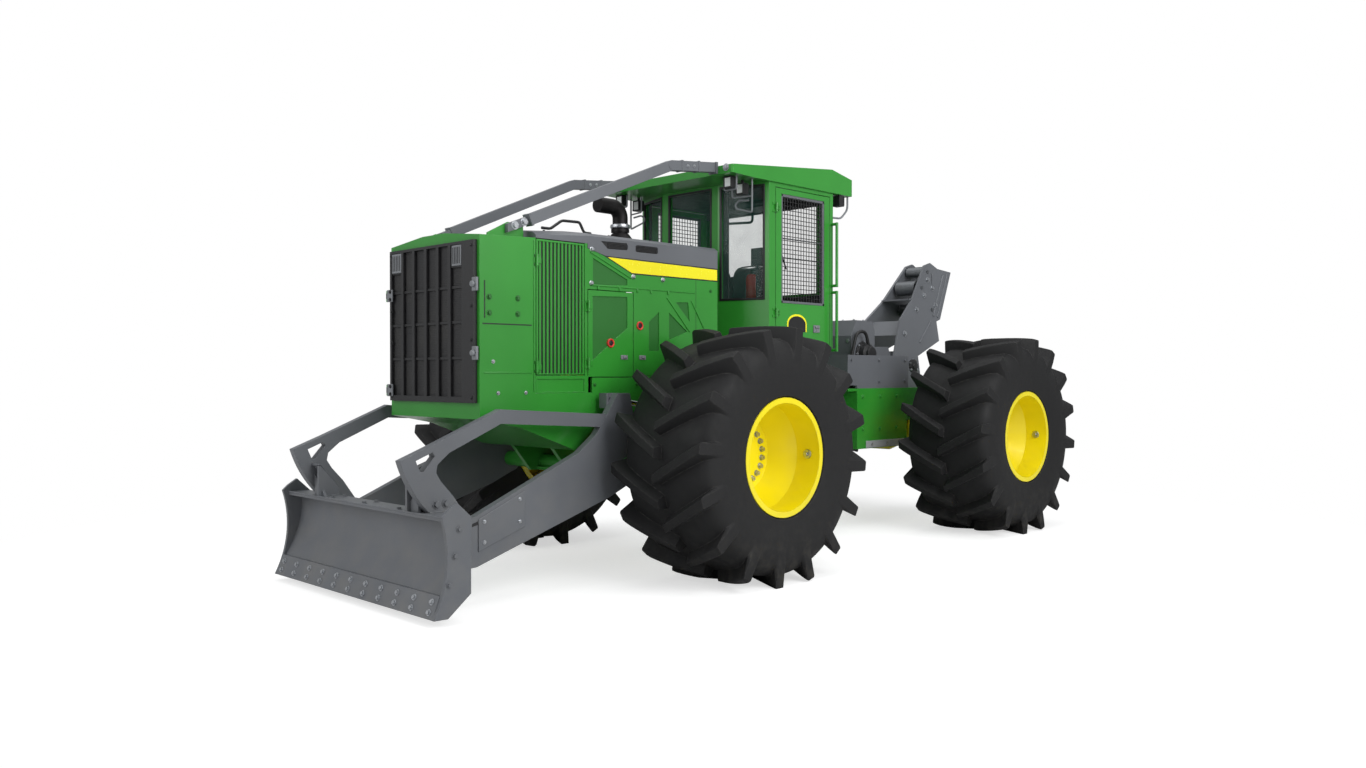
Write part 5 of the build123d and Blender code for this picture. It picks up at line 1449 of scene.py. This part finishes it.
@dataclass
class Engine:
    """What shows beside the engine block when a side door is open."""

    block_x: float = 0.2297
    first_y: float = -1.06
    pitch: float = 0.17
    cylinders: int = 6
    body: str = "front_body"

    def build(self, hardware: Hardware) -> None:
        """Builds covers, manifold, filters, alternator and hoses."""
        x = self.block_x
        middles = [self.first_y + i * self.pitch for i in range(self.cylinders)]

        def covers(s: Shape) -> None:
            for y in middles:
                s.prism(((y - 0.06, 1.86), (y + 0.06, 1.86), (y + 0.052, 2.02), (y - 0.052, 2.02)), "yz", x - 0.002,
                        x + 0.075)
        both("cylinder_covers", covers, Finish.BLACK, self.body, 0.008)
        both("oil_pan_ribs", lambda s: [s.block(x - 0.002, x + 0.022, -1.1 + i * 0.1, -1.07 + i * 0.1, 1.17, 1.46)
                                        for i in range(10)], Finish.BLACK, self.body, 0.004)

        def manifold(s: Shape) -> None:
            s.tube([at(x + 0.10, -1.09, 1.80), at(x + 0.10, -0.15, 1.80)], 0.036, 16)
            for y in middles:
                s.tube([at(x - 0.002, y, 1.74), at(x + 0.06, y, 1.745), at(x + 0.10, y, 1.80)], 0.021, 12, 0.02)
        both("engine_manifold", manifold, Finish.SOOT, self.body)
        filters = ((0.0, 0.0), (0.0, 0.048), (0.012, 0.054), (0.17, 0.054), (0.19, 0.040), (0.20, 0.0))

        def oil_filters(s: Shape) -> None:
            for y in (-0.92, -0.78):
                s.lathe([(-p, r) for p, r in filters], at(x + 0.085, y, 1.68), 28, "Z")
                s.block(x - 0.002, x + 0.12, y - 0.05, y + 0.05, 1.68, 1.71)
        both("oil_filters", oil_filters, Finish.YELLOW, self.body, 0.003)
        both("alternator", lambda s: s.lathe([(0.0, 0.0), (0.0, 0.07), (0.02, 0.08), (0.12, 0.08), (0.14, 0.06),
                                              (0.15, 0.0)], at(x + 0.095, -1.12, 1.55), 32, "Y")
             .block(x - 0.002, x + 0.05, -1.09, -1.02, 1.52, 1.58), Finish.GREY, self.body, 0.003)
        both("engine_hoses", lambda s: s.tube([at(x - 0.01, -0.62, 1.60), at(x + 0.12, -0.62, 1.60),
                                               at(x + 0.14, -0.30, 1.50), at(x - 0.01, -0.20, 1.45)], 0.017, 12, 0.06)
             .tube([at(x - 0.01, -0.98, 2.05), at(x + 0.11, -1.0, 2.10), at(x + 0.12, -1.32, 2.20),
                    at(x + 0.10, -1.482, 2.22)], 0.03, 14, 0.07), Finish.HOSE, self.body)
        places = on_side(x + 0.075, [(y + dy, z) for y in middles for dy in (-0.035, 0.035) for z in (1.885, 1.995)])
        hardware.bolts_both("cover_bolts", places, Fastener.SMALL, self.body)


@dataclass
class BrushRails:
    """Bolts and joint flanges of the two brush rails."""

    x: float = 0.60
    body: str = "front_body"

    def build(self, hardware: Hardware) -> None:
        """Builds the flanges and the bolts."""
        def flanges(s: Shape) -> None:
            for y in (0.04, 0.23):
                z = 3.157 + (y + 0.072) * 0.104
                s.block(self.x - 0.037, self.x + 0.037, y - 0.008, y + 0.008, z - 0.045, z + 0.045)
        both("rail_flanges", flanges, Finish.CHARCOAL, self.body, 0.003)
        lug = on_side(0.504, ((-1.49, 2.560), (-1.41, 2.592)))
        hardware.bolts_both("rail_lug_bolts", lug, Fastener.LARGE, self.body)
        inner = [(at(0.4557, y, z), (-1, 0, 0)) for y, z in ((-1.49, 2.545), (-1.41, 2.565))]
        hardware.bolts_both("rail_lug_nuts", inner, Fastener.MEDIUM, self.body)
        rest = [(at(self.x + s * 0.032, y, 3.157 + (y + 0.072) * 0.104), (s, 0, 0)) for y in (0.10, 0.17)
                for s in (-1, 1)]
        hardware.bolts_both("rail_joint_bolts", rest, Fastener.SMALL, self.body)


@dataclass
class Cushion:
    """A stuffed pad of the seat, swollen by a cloth simulation."""

    name: str
    centre: Vector
    across: Vector
    along: Vector
    half_across: float
    half_along: float
    thick: float
    cap: float = 0.014
    voxel: float = 0.006
    pressure: float = 4.0
    frames: int = 20
    piping_points: int = 36
    piping_r: float = 0.0065

    def outline(self, scale: float, height: float, points: int = 44) -> list[Vector]:
        """A ring of the pad, with rounded corners."""
        out = self.across.cross(self.along)
        ring = []
        for i in range(points):
            a = 2 * math.pi * i / points
            c, s = math.cos(a), math.sin(a)
            grow = (abs(c) ** 5 + abs(s) ** 5) ** -0.2
            ring.append(self.centre + self.across * (c * grow * self.half_across * scale)
                        + self.along * (s * grow * self.half_along * scale) + out * height)
        return ring

    def raw(self) -> bpy.types.Mesh:
        """The pad before it is stuffed, crowned on its front."""
        rows = ((-0.5, 0.88), (-0.42, 0.96), (-0.15, 1.0), (0.2, 0.99), (0.42, 0.93), (0.52, 0.80), (0.57, 0.55),
                (0.59, 0.2))
        shape = Shape()
        shape.skin([self.outline(scale, height * self.thick) for height, scale in rows])
        return shape.mesh(self.name)

    def stuffed(self) -> bpy.types.Mesh:
        """The pad swollen by the simulation, each point moved no further than the cap."""
        pad = bpy.data.objects.new("pad", self.raw())
        bpy.context.scene.collection.objects.link(pad)
        remesh = pad.modifiers.new("remesh", "REMESH")
        remesh.mode, remesh.voxel_size = "VOXEL", self.voxel
        depsgraph = bpy.context.evaluated_depsgraph_get()
        fine = bpy.data.meshes.new_from_object(pad.evaluated_get(depsgraph))
        pad.modifiers.clear()
        pad.data = fine
        cloth = pad.modifiers.new("cloth", "CLOTH")
        cloth.settings.use_pressure = True
        cloth.settings.uniform_pressure_force = self.pressure
        cloth.settings.effector_weights.gravity = 0.0
        for step in range(1, self.frames + 1):
            bpy.context.scene.frame_set(step)
        depsgraph = bpy.context.evaluated_depsgraph_get()
        swollen = bpy.data.meshes.new_from_object(pad.evaluated_get(depsgraph))
        pad.modifiers.clear()
        for old, new in zip(fine.vertices, swollen.vertices):
            move = new.co - old.co
            new.co = old.co + move * min(1.0, self.cap / max(move.length, 1e-9))
        fine = swollen
        bpy.context.scene.frame_set(1)
        bpy.data.objects.remove(pad)
        return fine

    def build(self) -> None:
        """Builds the pad and its piping."""
        piece = hang(self.name, self.stuffed(), Finish.CLOTH, "front_body", smooth=80)
        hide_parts("cab_interior")
        Shape().hoop(self.outline(1.0 + 0.004 / self.half_across, 0.08 * self.thick, self.piping_points),
                     self.piping_r, 8).piece(f"{self.name}_piping", Finish.TRIM, "front_body", smooth=60)


@dataclass
class CabInside:
    """Seat, console, monitor and lining."""

    bottle: tuple[float, float] = (0.475, 1.045)
    body: str = "front_body"

    def build_seat(self) -> None:
        """Builds the padded seat on its bellows."""
        lean = Vector((0, 0.152, 1.0)).normalized()
        across, back = Vector(LEFT), Vector((0, 1, 0))
        Cushion("seat_cushion", at(0, 1.375, 2.118), across, back, 0.222, 0.218, 0.105).build()
        Cushion("seat_back", at(0, 1.570, 2.345), across, lean, 0.212, 0.180, 0.105).build()
        bellows = Shape()
        rings = []
        for i in range(15):
            half = 0.165 if i % 2 else 0.145
            z = 1.772 + i * 0.0205
            rings.append([at(x * half, 1.375 + y * half, z) for x, y in ((-1, -1), (1, -1), (1, 1), (-1, 1))])
        bellows.skin(rings)
        bellows.piece("seat_bellows", Finish.HOSE, self.body, smooth=20)
        Shape().prism(((1.605, 2.16), (1.63, 2.16), (1.685, 2.50), (1.66, 2.50)), "yz", -0.19, 0.19) \
            .piece("seat_shell", Finish.PLASTIC, self.body, 0.006)

        def arm(s: Shape) -> None:
            s.block(0.27, 0.35, 1.24, 1.56, 2.255, 2.30)
            s.tube([at(0.31, 1.28, 2.29), at(0.31, 1.27, 2.38)], 0.009, 10)
            s.lathe([(0.0, 0.0), (0.0, 0.018), (0.03, 0.024), (0.07, 0.019), (0.085, 0.0)], at(0.31, 1.27, 2.375),
                    20, "Z")
            s.tube([at(0.31, 1.50, 2.26), at(0.31, 1.52, 2.12), at(0.13, 1.52, 2.05)], 0.014, 10, 0.03)
        both("seat_arm", arm, Finish.PLASTIC, self.body, 0.006)

    def build_console(self) -> None:
        """Builds the console, the steering wheel, the monitor and the bottle on its shelf."""
        Shape().prism(((0.82, 1.76), (0.96, 1.76), (0.93, 2.20), (0.97, 2.36), (0.83, 2.42), (0.815, 2.38)), "yz",
                      -0.17, 0.17).piece("console", Finish.PLASTIC, self.body, 0.01)
        hub = at(0, 1.03, 2.44)
        tilt = Matrix.Rotation(math.radians(-25), 3, "X")
        rim = [hub + tilt @ Vector((c, s, 0)) for s, c in circle(0.17, 36)]
        wheel = Shape().hoop(rim, 0.013, 8)
        for i in (0, 12, 24):
            wheel.bar(hub, rim[i], 0.009, 8)
        wheel.bar(hub + tilt @ Vector((0, 0, -0.10)), hub + tilt @ Vector((0, 0, 0.015)), 0.03, 20)
        wheel.piece("steering_wheel", Finish.TRIM, self.body, smooth=50)
        Shape().block(0.517, 0.639, 0.985, 1.018, 2.452, 2.602) \
            .tube([at(0.578, 1.0, 2.46), at(0.60, 0.985, 2.20), at(0.60, 0.985, 1.76)], 0.016, 12, 0.05) \
            .piece("monitor", Finish.PLASTIC, self.body, 0.006)
        Shape().block(0.526, 0.630, 1.0175, 1.0195, 2.464, 2.590).piece("monitor_face", Finish.TRIM, self.body)
        Shape().block(0.40, 0.56, 0.975, 1.11, 1.77, 2.16).piece("side_shelf", Finish.PLASTIC, self.body, 0.012)
        x, y = self.bottle
        Shape().lathe([(0.0, 0.0), (0.0, 0.048), (0.006, 0.052), (0.19, 0.052), (0.222, 0.040), (0.235, 0.018),
                       (0.235, 0.0)], at(x, y, 2.158), 32, "Z").piece("bottle", Finish.BOTTLE, self.body)
        Shape().bar(at(x, y, 2.39), at(x, y, 2.425), 0.014, 16) \
            .tube([at(x, y, 2.42), at(x, 1.10, 2.43), at(x, 1.115, 2.25)], 0.008, 8, 0.02) \
            .piece("bottle_valve", Finish.TRIM, self.body, 0.002)

    def build_lining(self, hardware: Hardware) -> None:
        """Builds the roof, rear and post linings, the hanging bar and the ribbed floor mat."""
        plan = ((-0.30, 0.81), (0.30, 0.81), (0.715, 0.96), (0.715, 1.755), (-0.715, 1.755), (-0.715, 0.96))
        Shape().prism(plan, "xy", 3.108, 3.1402).block(-0.28, 0.28, 1.45, 1.75, 3.05, 3.11) \
            .piece("roof_lining", Finish.PLASTIC, self.body, 0.012)
        Shape().tube([at(-0.46, 1.735, 3.115), at(-0.46, 1.735, 2.985), at(-0.12, 1.735, 2.965),
                      at(-0.12, 1.735, 3.115)], 0.012, 12, 0.04).piece("hanging_bar", Finish.TRIM, self.body)
        Shape().block(-0.70, 0.70, 0.99, 1.75, 1.759, 1.768).piece("floor_mat", Finish.HOSE, self.body, 0.003)
        rib = Shape().block(-0.68, 0.68, 1.005, 1.015, 1.767, 1.773)
        hardware.row("mat_ribs", rib, Finish.HOSE, self.body, 19, (0, 0.04, 0), 0.001)
        outline = ((-0.735, 1.77), (0.735, 1.77), (0.735, 2.23), (0.20, 2.23), (0.12, 2.30), (0.10, 2.465),
                   (-0.70, 2.465), (-0.735, 2.42))
        Shape().prism(outline, "xz", 1.746, 1.7615).block(-0.735, 0.735, 1.746, 1.7615, 3.04, 3.11) \
            .piece("rear_lining", Finish.PLASTIC, self.body, 0.004)
        run = Vector((0.44, 0.158)).normalized()
        both("post_lining", lambda s: s.wall((0.34, 0.76), run, (0.0, 0.080), (1.77, 3.11), -0.062, -0.0395)
             .wall((0.34, 0.76), run, (0.08, 0.41), (1.77, 2.155), -0.055, -0.0395), Finish.PLASTIC, self.body, 0.004)
        both("window_post_trim", lambda s: s.tube([at(0.735, 0.975, 1.77), at(0.735, 0.975, 3.11)], 0.016, 10),
             Finish.TRIM, self.body)

    def build(self, hardware: Hardware) -> None:
        """Builds the cab's inside."""
        self.build_seat()
        self.build_console()
        self.build_lining(hardware)


@dataclass
class BladeTrim:
    """Ears, bolts and weld beads on the blade, plates on its arms, and a thin dark plate on each arm that paints the
    shade in a slot.
    """

    half: float = 1.0835
    body: str = "blade_body"

    def build_ears(self) -> None:
        """Builds the inner ear plate of each deflector bracket and the strip that caps it."""
        both("bracket_ears", lambda s: s.prism(((-2.406, 0.646), (-2.406, 0.876), (-2.390, 0.876), (-2.250, 0.704),
                                                (-2.250, 0.646)), "yz", 0.588, 0.610)
             .prism(((-2.406, 0.864), (-2.406, 0.877), (-2.388, 0.877), (-2.250, 0.712), (-2.250, 0.698),
                     (-2.392, 0.864)), "yz", 0.588, 0.702), Finish.CHARCOAL, self.body, 0.003)

    def build_beads(self) -> None:
        """Builds the weld beads along the blade's joints."""
        beads = Shape()
        for y, z in ((-2.406, 0.648), (-2.245, 0.499), (-2.245, 0.331)):
            beads.tube([at(-1.055, y, z), at(1.055, y, z)], 0.006, 8)
        beads.piece("blade_beads", Finish.CHARCOAL, self.body)

        def bracket(s: Shape) -> None:
            for x, y0, y1, radius in ((0.699, -2.335, -2.248, 0.007), (0.761, -2.335, -2.248, 0.007),
                                      (0.587, -2.40, -2.252, 0.006)):
                s.tube([at(x, y0, 0.650), at(x, y1, 0.650)], radius, 8)
        both("bracket_beads", bracket, Finish.CHARCOAL, self.body)

    def build(self, hardware: Hardware) -> None:
        """Builds all of the blade's trim."""
        self.build_ears()
        self.build_beads()
        tilt = (0, -0.937, 0.351)
        edge = [(at(-1.0 + i * 0.2, -2.504 + 0.052 * (z - 0.047) / 0.139, z), tilt) for i in range(11)
                for z in (0.085, 0.145)]
        hardware.bolts("edge_bolts", edge, Fastener.MEDIUM, self.body)
        ends = on_side(self.half, ((-2.40, 0.25), (-2.36, 0.42), (-2.33, 0.58)))
        hardware.bolts_both("end_plate_bolts", ends, Fastener.MEDIUM, self.body, Finish.CHARCOAL)
        feet = on_side(0.76, ((-2.285, 0.70), (-2.215, 0.70)))
        hardware.bolts_both("bracket_bolts", feet, Fastener.LARGE, self.body, Finish.CHARCOAL)
        both("arm_overlay", lambda s: s.prism(((-1.975, 0.575), (-1.60, 0.735), (-1.60, 0.49), (-1.975, 0.36)), "yz",
                                              0.7595, 0.768), Finish.CHARCOAL, self.body, 0.004)
        # A thin dark plate on each arm: painted shade inside a slot.
        both("arm_slot_shade", lambda s: s.prism(((-2.02, 0.548), (-1.935, 0.572), (-1.935, 0.548), (-2.02, 0.528)), "yz",
                                           0.7595, 0.7625), Finish.TRIM, self.body, 0.001)
        arms = on_side(0.768, ((-1.93, 0.555), (-1.93, 0.42), (-1.645, 0.68), (-1.645, 0.53)))
        hardware.bolts_both("arm_bolts", arms, Fastener.SMALL, self.body)
        ring = on_side(0.778, [(-0.66 + s, 0.82 + c) for s, c in circle(0.066, 6)])
        hardware.bolts_both("trunnion_bolts", ring, Fastener.MEDIUM, "front_body")
        top = [(at(x, y, 0.648), UP) for x in (-0.45, 0.0, 0.45) for y in (-2.37, -2.28)]
        hardware.bolts("blade_top_bolts", top, Fastener.MEDIUM, self.body, Finish.CHARCOAL)


@dataclass
class RearTrim:
    """Winch, arch and rear frame fittings."""

    half: float = 0.50
    drum_y: float = 3.33
    drum_z: float = 1.59
    rope_r: float = 0.0105
    rope_step: float = 0.0211
    motor: tuple[float, float] = (2.90, 1.72)
    cap: tuple[float, float] = (3.82, 1.60)
    lean: float = math.radians(9.6)
    body: str = "rear_body"

    def build_winch(self, hardware: Hardware) -> None:
        """Builds the rope on the drum, the end covers, the motor and the hoses."""
        for name, start, radius, count in (("drum_rope", -0.222, 0.1405, 22), ("drum_rope_over", -0.200, 0.159, 13)):
            coil = Shape().lathe([(start + c, radius + s) for s, c in circle(self.rope_r, 8)],
                                 at(0, self.drum_y, self.drum_z), 36)
            hardware.row(name, coil, Finish.ROPE, "drum", count, (self.rope_step, 0, 0))
        both("drum_cover", lambda s: s.lathe([(0.0, 0.0), (0.0, 0.082), (0.012, 0.082), (0.016, 0.072), (0.040, 0.068),
                                              (0.046, 0.058), (0.046, 0.0)], at(0.2895, self.drum_y, self.drum_z), 40),
             Finish.BLACK, self.body)
        ring = on_side(0.3015, [(self.drum_y + s, self.drum_z + c) for s, c in circle(0.077, 8)])
        hardware.bolts_both("drum_cover_bolts", ring, Fastener.SMALL, self.body)
        both("winch_motor", lambda s: s.lathe([(0.0, 0.0), (0.0, 0.13), (0.016, 0.13), (0.020, 0.105), (0.075, 0.10),
                                               (0.085, 0.075), (0.115, 0.07), (0.12, 0.0)], at(0.3295, *self.motor), 40)
             .block(0.3295, 0.352, 2.74, 3.06, 1.44, 1.56), Finish.BLACK, self.body, 0.003)
        around = on_side(0.3455, [(self.motor[0] + s, self.motor[1] + c) for s, c in circle(0.118, 8)])
        hardware.bolts_both("winch_motor_bolts", around, Fastener.SMALL, self.body)
        hoses = (([(0.40, 2.90, 1.80), (0.40, 2.84, 1.95), (0.38, 2.72, 1.93), (0.36, 2.64, 1.62), (0.34, 2.62, 1.37)],
                  0.016, 0.06),
                 ([(0.40, 2.86, 1.66), (0.42, 2.74, 1.62), (0.40, 2.66, 1.52), (0.38, 2.62, 1.37)], 0.016, 0.05),
                 ([(0.36, 3.03, 1.50), (0.41, 3.12, 1.55), (0.40, 3.22, 1.44), (0.38, 3.25, 1.37)], 0.013, 0.04))

        def draw(s: Shape) -> None:
            for path, radius, bend in hoses:
                s.tube([at(*point) for point in path], radius, 12, bend)
        both("winch_hoses", draw, Finish.HOSE, self.body)
        Shape().block(-0.29, 0.29, 2.82, 3.02, 2.048, 2.060).piece("winch_lid", Finish.CHARCOAL, self.body, 0.004)
        lid = [(at(x, y, 2.060), UP) for x in (-0.26, -0.13, 0.13, 0.26) for y in (2.84, 3.0)]
        hardware.bolts("winch_lid_bolts", lid, Fastener.SMALL, self.body)
        front = [(at(x, 2.70, z), (0, -1, 0)) for x in (-0.29, 0.0, 0.29) for z in (1.45, 1.65, 1.85)]
        hardware.bolts("winch_front_bolts", front, Fastener.MEDIUM, self.body)

    def build_arch(self, hardware: Hardware) -> None:
        """Builds the arch's bolts and the beads along its cross plates."""
        slope = math.tan(self.lean)
        cap_y, cap_z = self.cap

        def face(y: float, z: float) -> Vector:
            return at(0.301 - slope * (z - 1.71), y, z)
        out = (math.cos(self.lean), 0, math.sin(self.lean))
        spots = ((4.36, 2.565), (4.43, 2.474), (4.24, 2.386), (4.45, 2.287), (4.05, 2.22), (3.75, 1.95), (3.66, 1.62))
        hardware.bolts_both("arch_bolts", [(face(y, z), out) for y, z in spots], Fastener.LARGE, self.body)
        both("arch_ribs", lambda s: s.tube([face(4.79, 2.65), face(4.45, 2.15)], 0.012, 8)
             .tube([face(4.70, 2.64), face(4.37, 2.16)], 0.012, 8)
             .tube([face(4.30, 2.10), face(4.02, 1.86)], 0.010, 8), Finish.CHARCOAL, self.body)
        cap = ((-0.01, 0.0), (-0.01, 0.076), (0.012, 0.076), (0.020, 0.062), (0.020, 0.030), (0.030, 0.026),
               (0.030, 0.0))
        both("arch_cap", lambda s: s.lathe(cap, face(cap_y, cap_z), 36), Finish.BLACK, self.body)
        ring = [(face(cap_y + s, cap_z + c) + Vector((0.012, 0, 0)), LEFT) for s, c in circle(0.068, 6)]
        hardware.bolts_both("arch_cap_bolts", ring, Fastener.SMALL, self.body)

    def build_frame(self, hardware: Hardware) -> None:
        """Builds the strip, the tab and the bolts of the rear frame and its butt plate."""
        x = self.half
        both("rear_strip", lambda s: s.block(x - 0.002, x + 0.008, 2.71, 3.38, 0.795, 0.865), Finish.PALE, self.body,
             0.003)
        both("rear_tab", lambda s: s.block(x - 0.07, x - 0.002, 2.43, 2.567, 1.352, 1.379), Finish.GREEN, self.body,
             0.004)
        sides = on_side(x, product((2.66, 2.95, 3.24), (0.98, 1.30)))
        sides += on_side(x, product((3.98, 4.32), (0.90, 1.30)))
        hardware.bolts_both("rear_frame_bolts", sides, Fastener.MEDIUM, self.body, Finish.GREEN)
        strip = on_side(x + 0.008, [(y, 0.83) for y in (2.80, 3.05, 3.30)])
        hardware.bolts_both("rear_strip_bolts", strip, Fastener.SMALL, self.body)
        guard = on_side(x, product((2.47, 2.93, 3.39), (1.45, 1.66)))
        hardware.bolts_both("guard_bolts", guard, Fastener.MEDIUM, self.body, Finish.CHARCOAL)
        butt = [(at(x1, 4.480, z), (0, 1, 0)) for x1 in (-0.5, -0.25, 0.25, 0.5) for z in (0.86, 1.42)]
        hardware.bolts("butt_plate_bolts", butt, Fastener.LARGE, self.body, Finish.CHARCOAL)
        both("rear_reflector", lambda s: s.block(0.515, 0.553, 4.479, 4.487, 1.22, 1.31), Finish.RED, self.body, 0.002)
        both("butt_ribs", lambda s: s.block(0.36, 0.385, 4.479, 4.50, 0.82, 1.46), Finish.CHARCOAL, self.body, 0.004)

    def build(self, hardware: Hardware) -> None:
        """Builds everything on the rear body."""
        self.build_winch(hardware)
        self.build_arch(hardware)
        self.build_frame(hardware)


@dataclass
class Studio:
    """Floor, lamps, surroundings and the photograph's camera."""

    floor_half: float = 60.0
    fade_from: float = 3.2
    fade_to: float = 6.5
    camera_turn: float = math.radians(44.945)
    camera_tilt: float = math.radians(-0.541)
    camera_place: tuple[float, float, float] = (6.602, -7.108, 1.551)
    lens: float = 28.095
    sensor: float = 36.0
    aim: tuple[float, float, float] = (0, 0, 1.2)
    floor_grey: float = 0.62
    floor_glow: float = 0.60
    world_light: float = 0.40

    def build(self) -> None:
        """Builds the studio."""
        self.build_floor()
        self.build_world()
        self.build_lamps()
        self.build_camera()

    def build_floor(self) -> None:
        """Builds the pale floor, which keeps the machine's shadow."""
        half = self.floor_half
        shape = Shape().block(-half, half, -half, half, -0.02, -0.0005)
        floor = bpy.data.objects.new("floor", shape.mesh("floor"))
        bpy.context.scene.collection.objects.link(floor)
        s = Shader("pale_floor")
        matt = s.wire("ShaderNodeBsdfDiffuse", sockets={"Color": (self.floor_grey,) * 3 + (1,)})
        glow = s.wire("ShaderNodeEmission", sockets={"Color": (1, 1, 1, 1), "Strength": self.floor_glow})
        lit = s.wire("ShaderNodeAddShader", sockets={0: matt, 1: glow})
        white = s.wire("ShaderNodeEmission", sockets={"Color": (1, 1, 1, 1), "Strength": 1.0})
        away = s.wire("ShaderNodeVectorMath", {"operation": "LENGTH"}, {0: s.place()}, "Value")
        fade = s.between(away, self.fade_from, self.fade_to)
        shown = s.wire("ShaderNodeMixShader", sockets={0: fade, 1: lit, 2: white})
        ray = s.node("ShaderNodeLightPath")
        seen = s.wire("ShaderNodeMixShader", sockets={0: Wire(s, ray.outputs["Is Camera Ray"]), 1: matt, 2: shown})
        s.node("ShaderNodeOutputMaterial", sockets={"Surface": seen})
        floor.data.materials.append(s.material)

    def build_world(self) -> None:
        """Builds the white surroundings."""
        world = bpy.data.worlds.new("studio")
        bpy.context.scene.world = world
        world.use_nodes = True
        nodes, links = world.node_tree.nodes, world.node_tree.links
        nodes.clear()
        ray = nodes.new("ShaderNodeLightPath")
        most = nodes.new("ShaderNodeMath")
        most.operation = "MAXIMUM"
        links.new(ray.outputs["Is Camera Ray"], most.inputs[0])
        links.new(ray.outputs["Is Transmission Ray"], most.inputs[1])
        shown, light = nodes.new("ShaderNodeBackground"), nodes.new("ShaderNodeBackground")
        shown.inputs["Color"].default_value = (1, 1, 1, 1)
        light.inputs["Color"].default_value = (0.97, 0.985, 1.0, 1)
        light.inputs["Strength"].default_value = self.world_light
        mixed, out = nodes.new("ShaderNodeMixShader"), nodes.new("ShaderNodeOutputWorld")
        links.new(most.outputs[0], mixed.inputs[0])
        links.new(light.outputs[0], mixed.inputs[1])
        links.new(shown.outputs[0], mixed.inputs[2])
        links.new(mixed.outputs[0], out.inputs[0])

    def build_lamps(self) -> None:
        """Builds the soft lamps."""
        lamps = (
            # name, place, size, power
            ("key", (9.5, -1.0, 6.0), 7.0, 730.0),
            ("front", (-2.0, -10.5, 5.0), 7.0, 300.0),
            ("top", (0.0, 0.0, 10.0), 9.0, 430.0),
        )
        for name, place, size, power in lamps:
            light = bpy.data.lights.new(name, "AREA")
            light.size, light.energy = size, power
            lamp = bpy.data.objects.new(name, light)
            bpy.context.scene.collection.objects.link(lamp)
            lamp.location = place
            lamp.rotation_euler = (Vector(self.aim) - Vector(place)).to_track_quat("-Z", "Y").to_euler()

    def build_camera(self) -> None:
        """Builds the camera where the photograph was taken from."""
        turn, tilt = self.camera_turn, self.camera_tilt
        camera = bpy.data.objects.new("camera", bpy.data.cameras.new("camera"))
        bpy.context.scene.collection.objects.link(camera)
        camera.data.lens, camera.data.sensor_width = self.lens, self.sensor
        camera.data.clip_end = 200.0
        camera.location = self.camera_place
        ahead = Vector((-math.sin(turn) * math.cos(tilt), math.cos(turn) * math.cos(tilt), math.sin(tilt)))
        camera.rotation_euler = ahead.to_track_quat("-Z", "Y").to_euler()
        bpy.context.scene.camera = camera


def main() -> None:
    """Builds the studio and dresses the machine, one sub-assembly after another."""
    logging.basicConfig(level=logging.INFO, format="%(message)s")
    bpy.context.scene.view_settings.view_transform = "Standard"
    Studio().build()
    SHOP.dress_cad({"exhaust_pipe": Finish.SOOT, "radiator_core": Finish.CORE, "winch_drum": Finish.WORN,
                    "roller_top": Finish.WORN, "roller_mid": Finish.WORN, "roller_low": Finish.WORN})
    hardware = Hardware()
    for end in ("front", "rear"):
        for side_name, side in SIDES:
            Wheel(end, side_name, side).build(hardware)
    for assembly in (Grille, NoseTrim, HoodTrim, EngineSides, Engine, BrushRails, CabTrim, CabInside, BladeTrim,
                     RearTrim):
        assembly().build(hardware)
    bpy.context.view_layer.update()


if __name__ == "__main__":
    main()
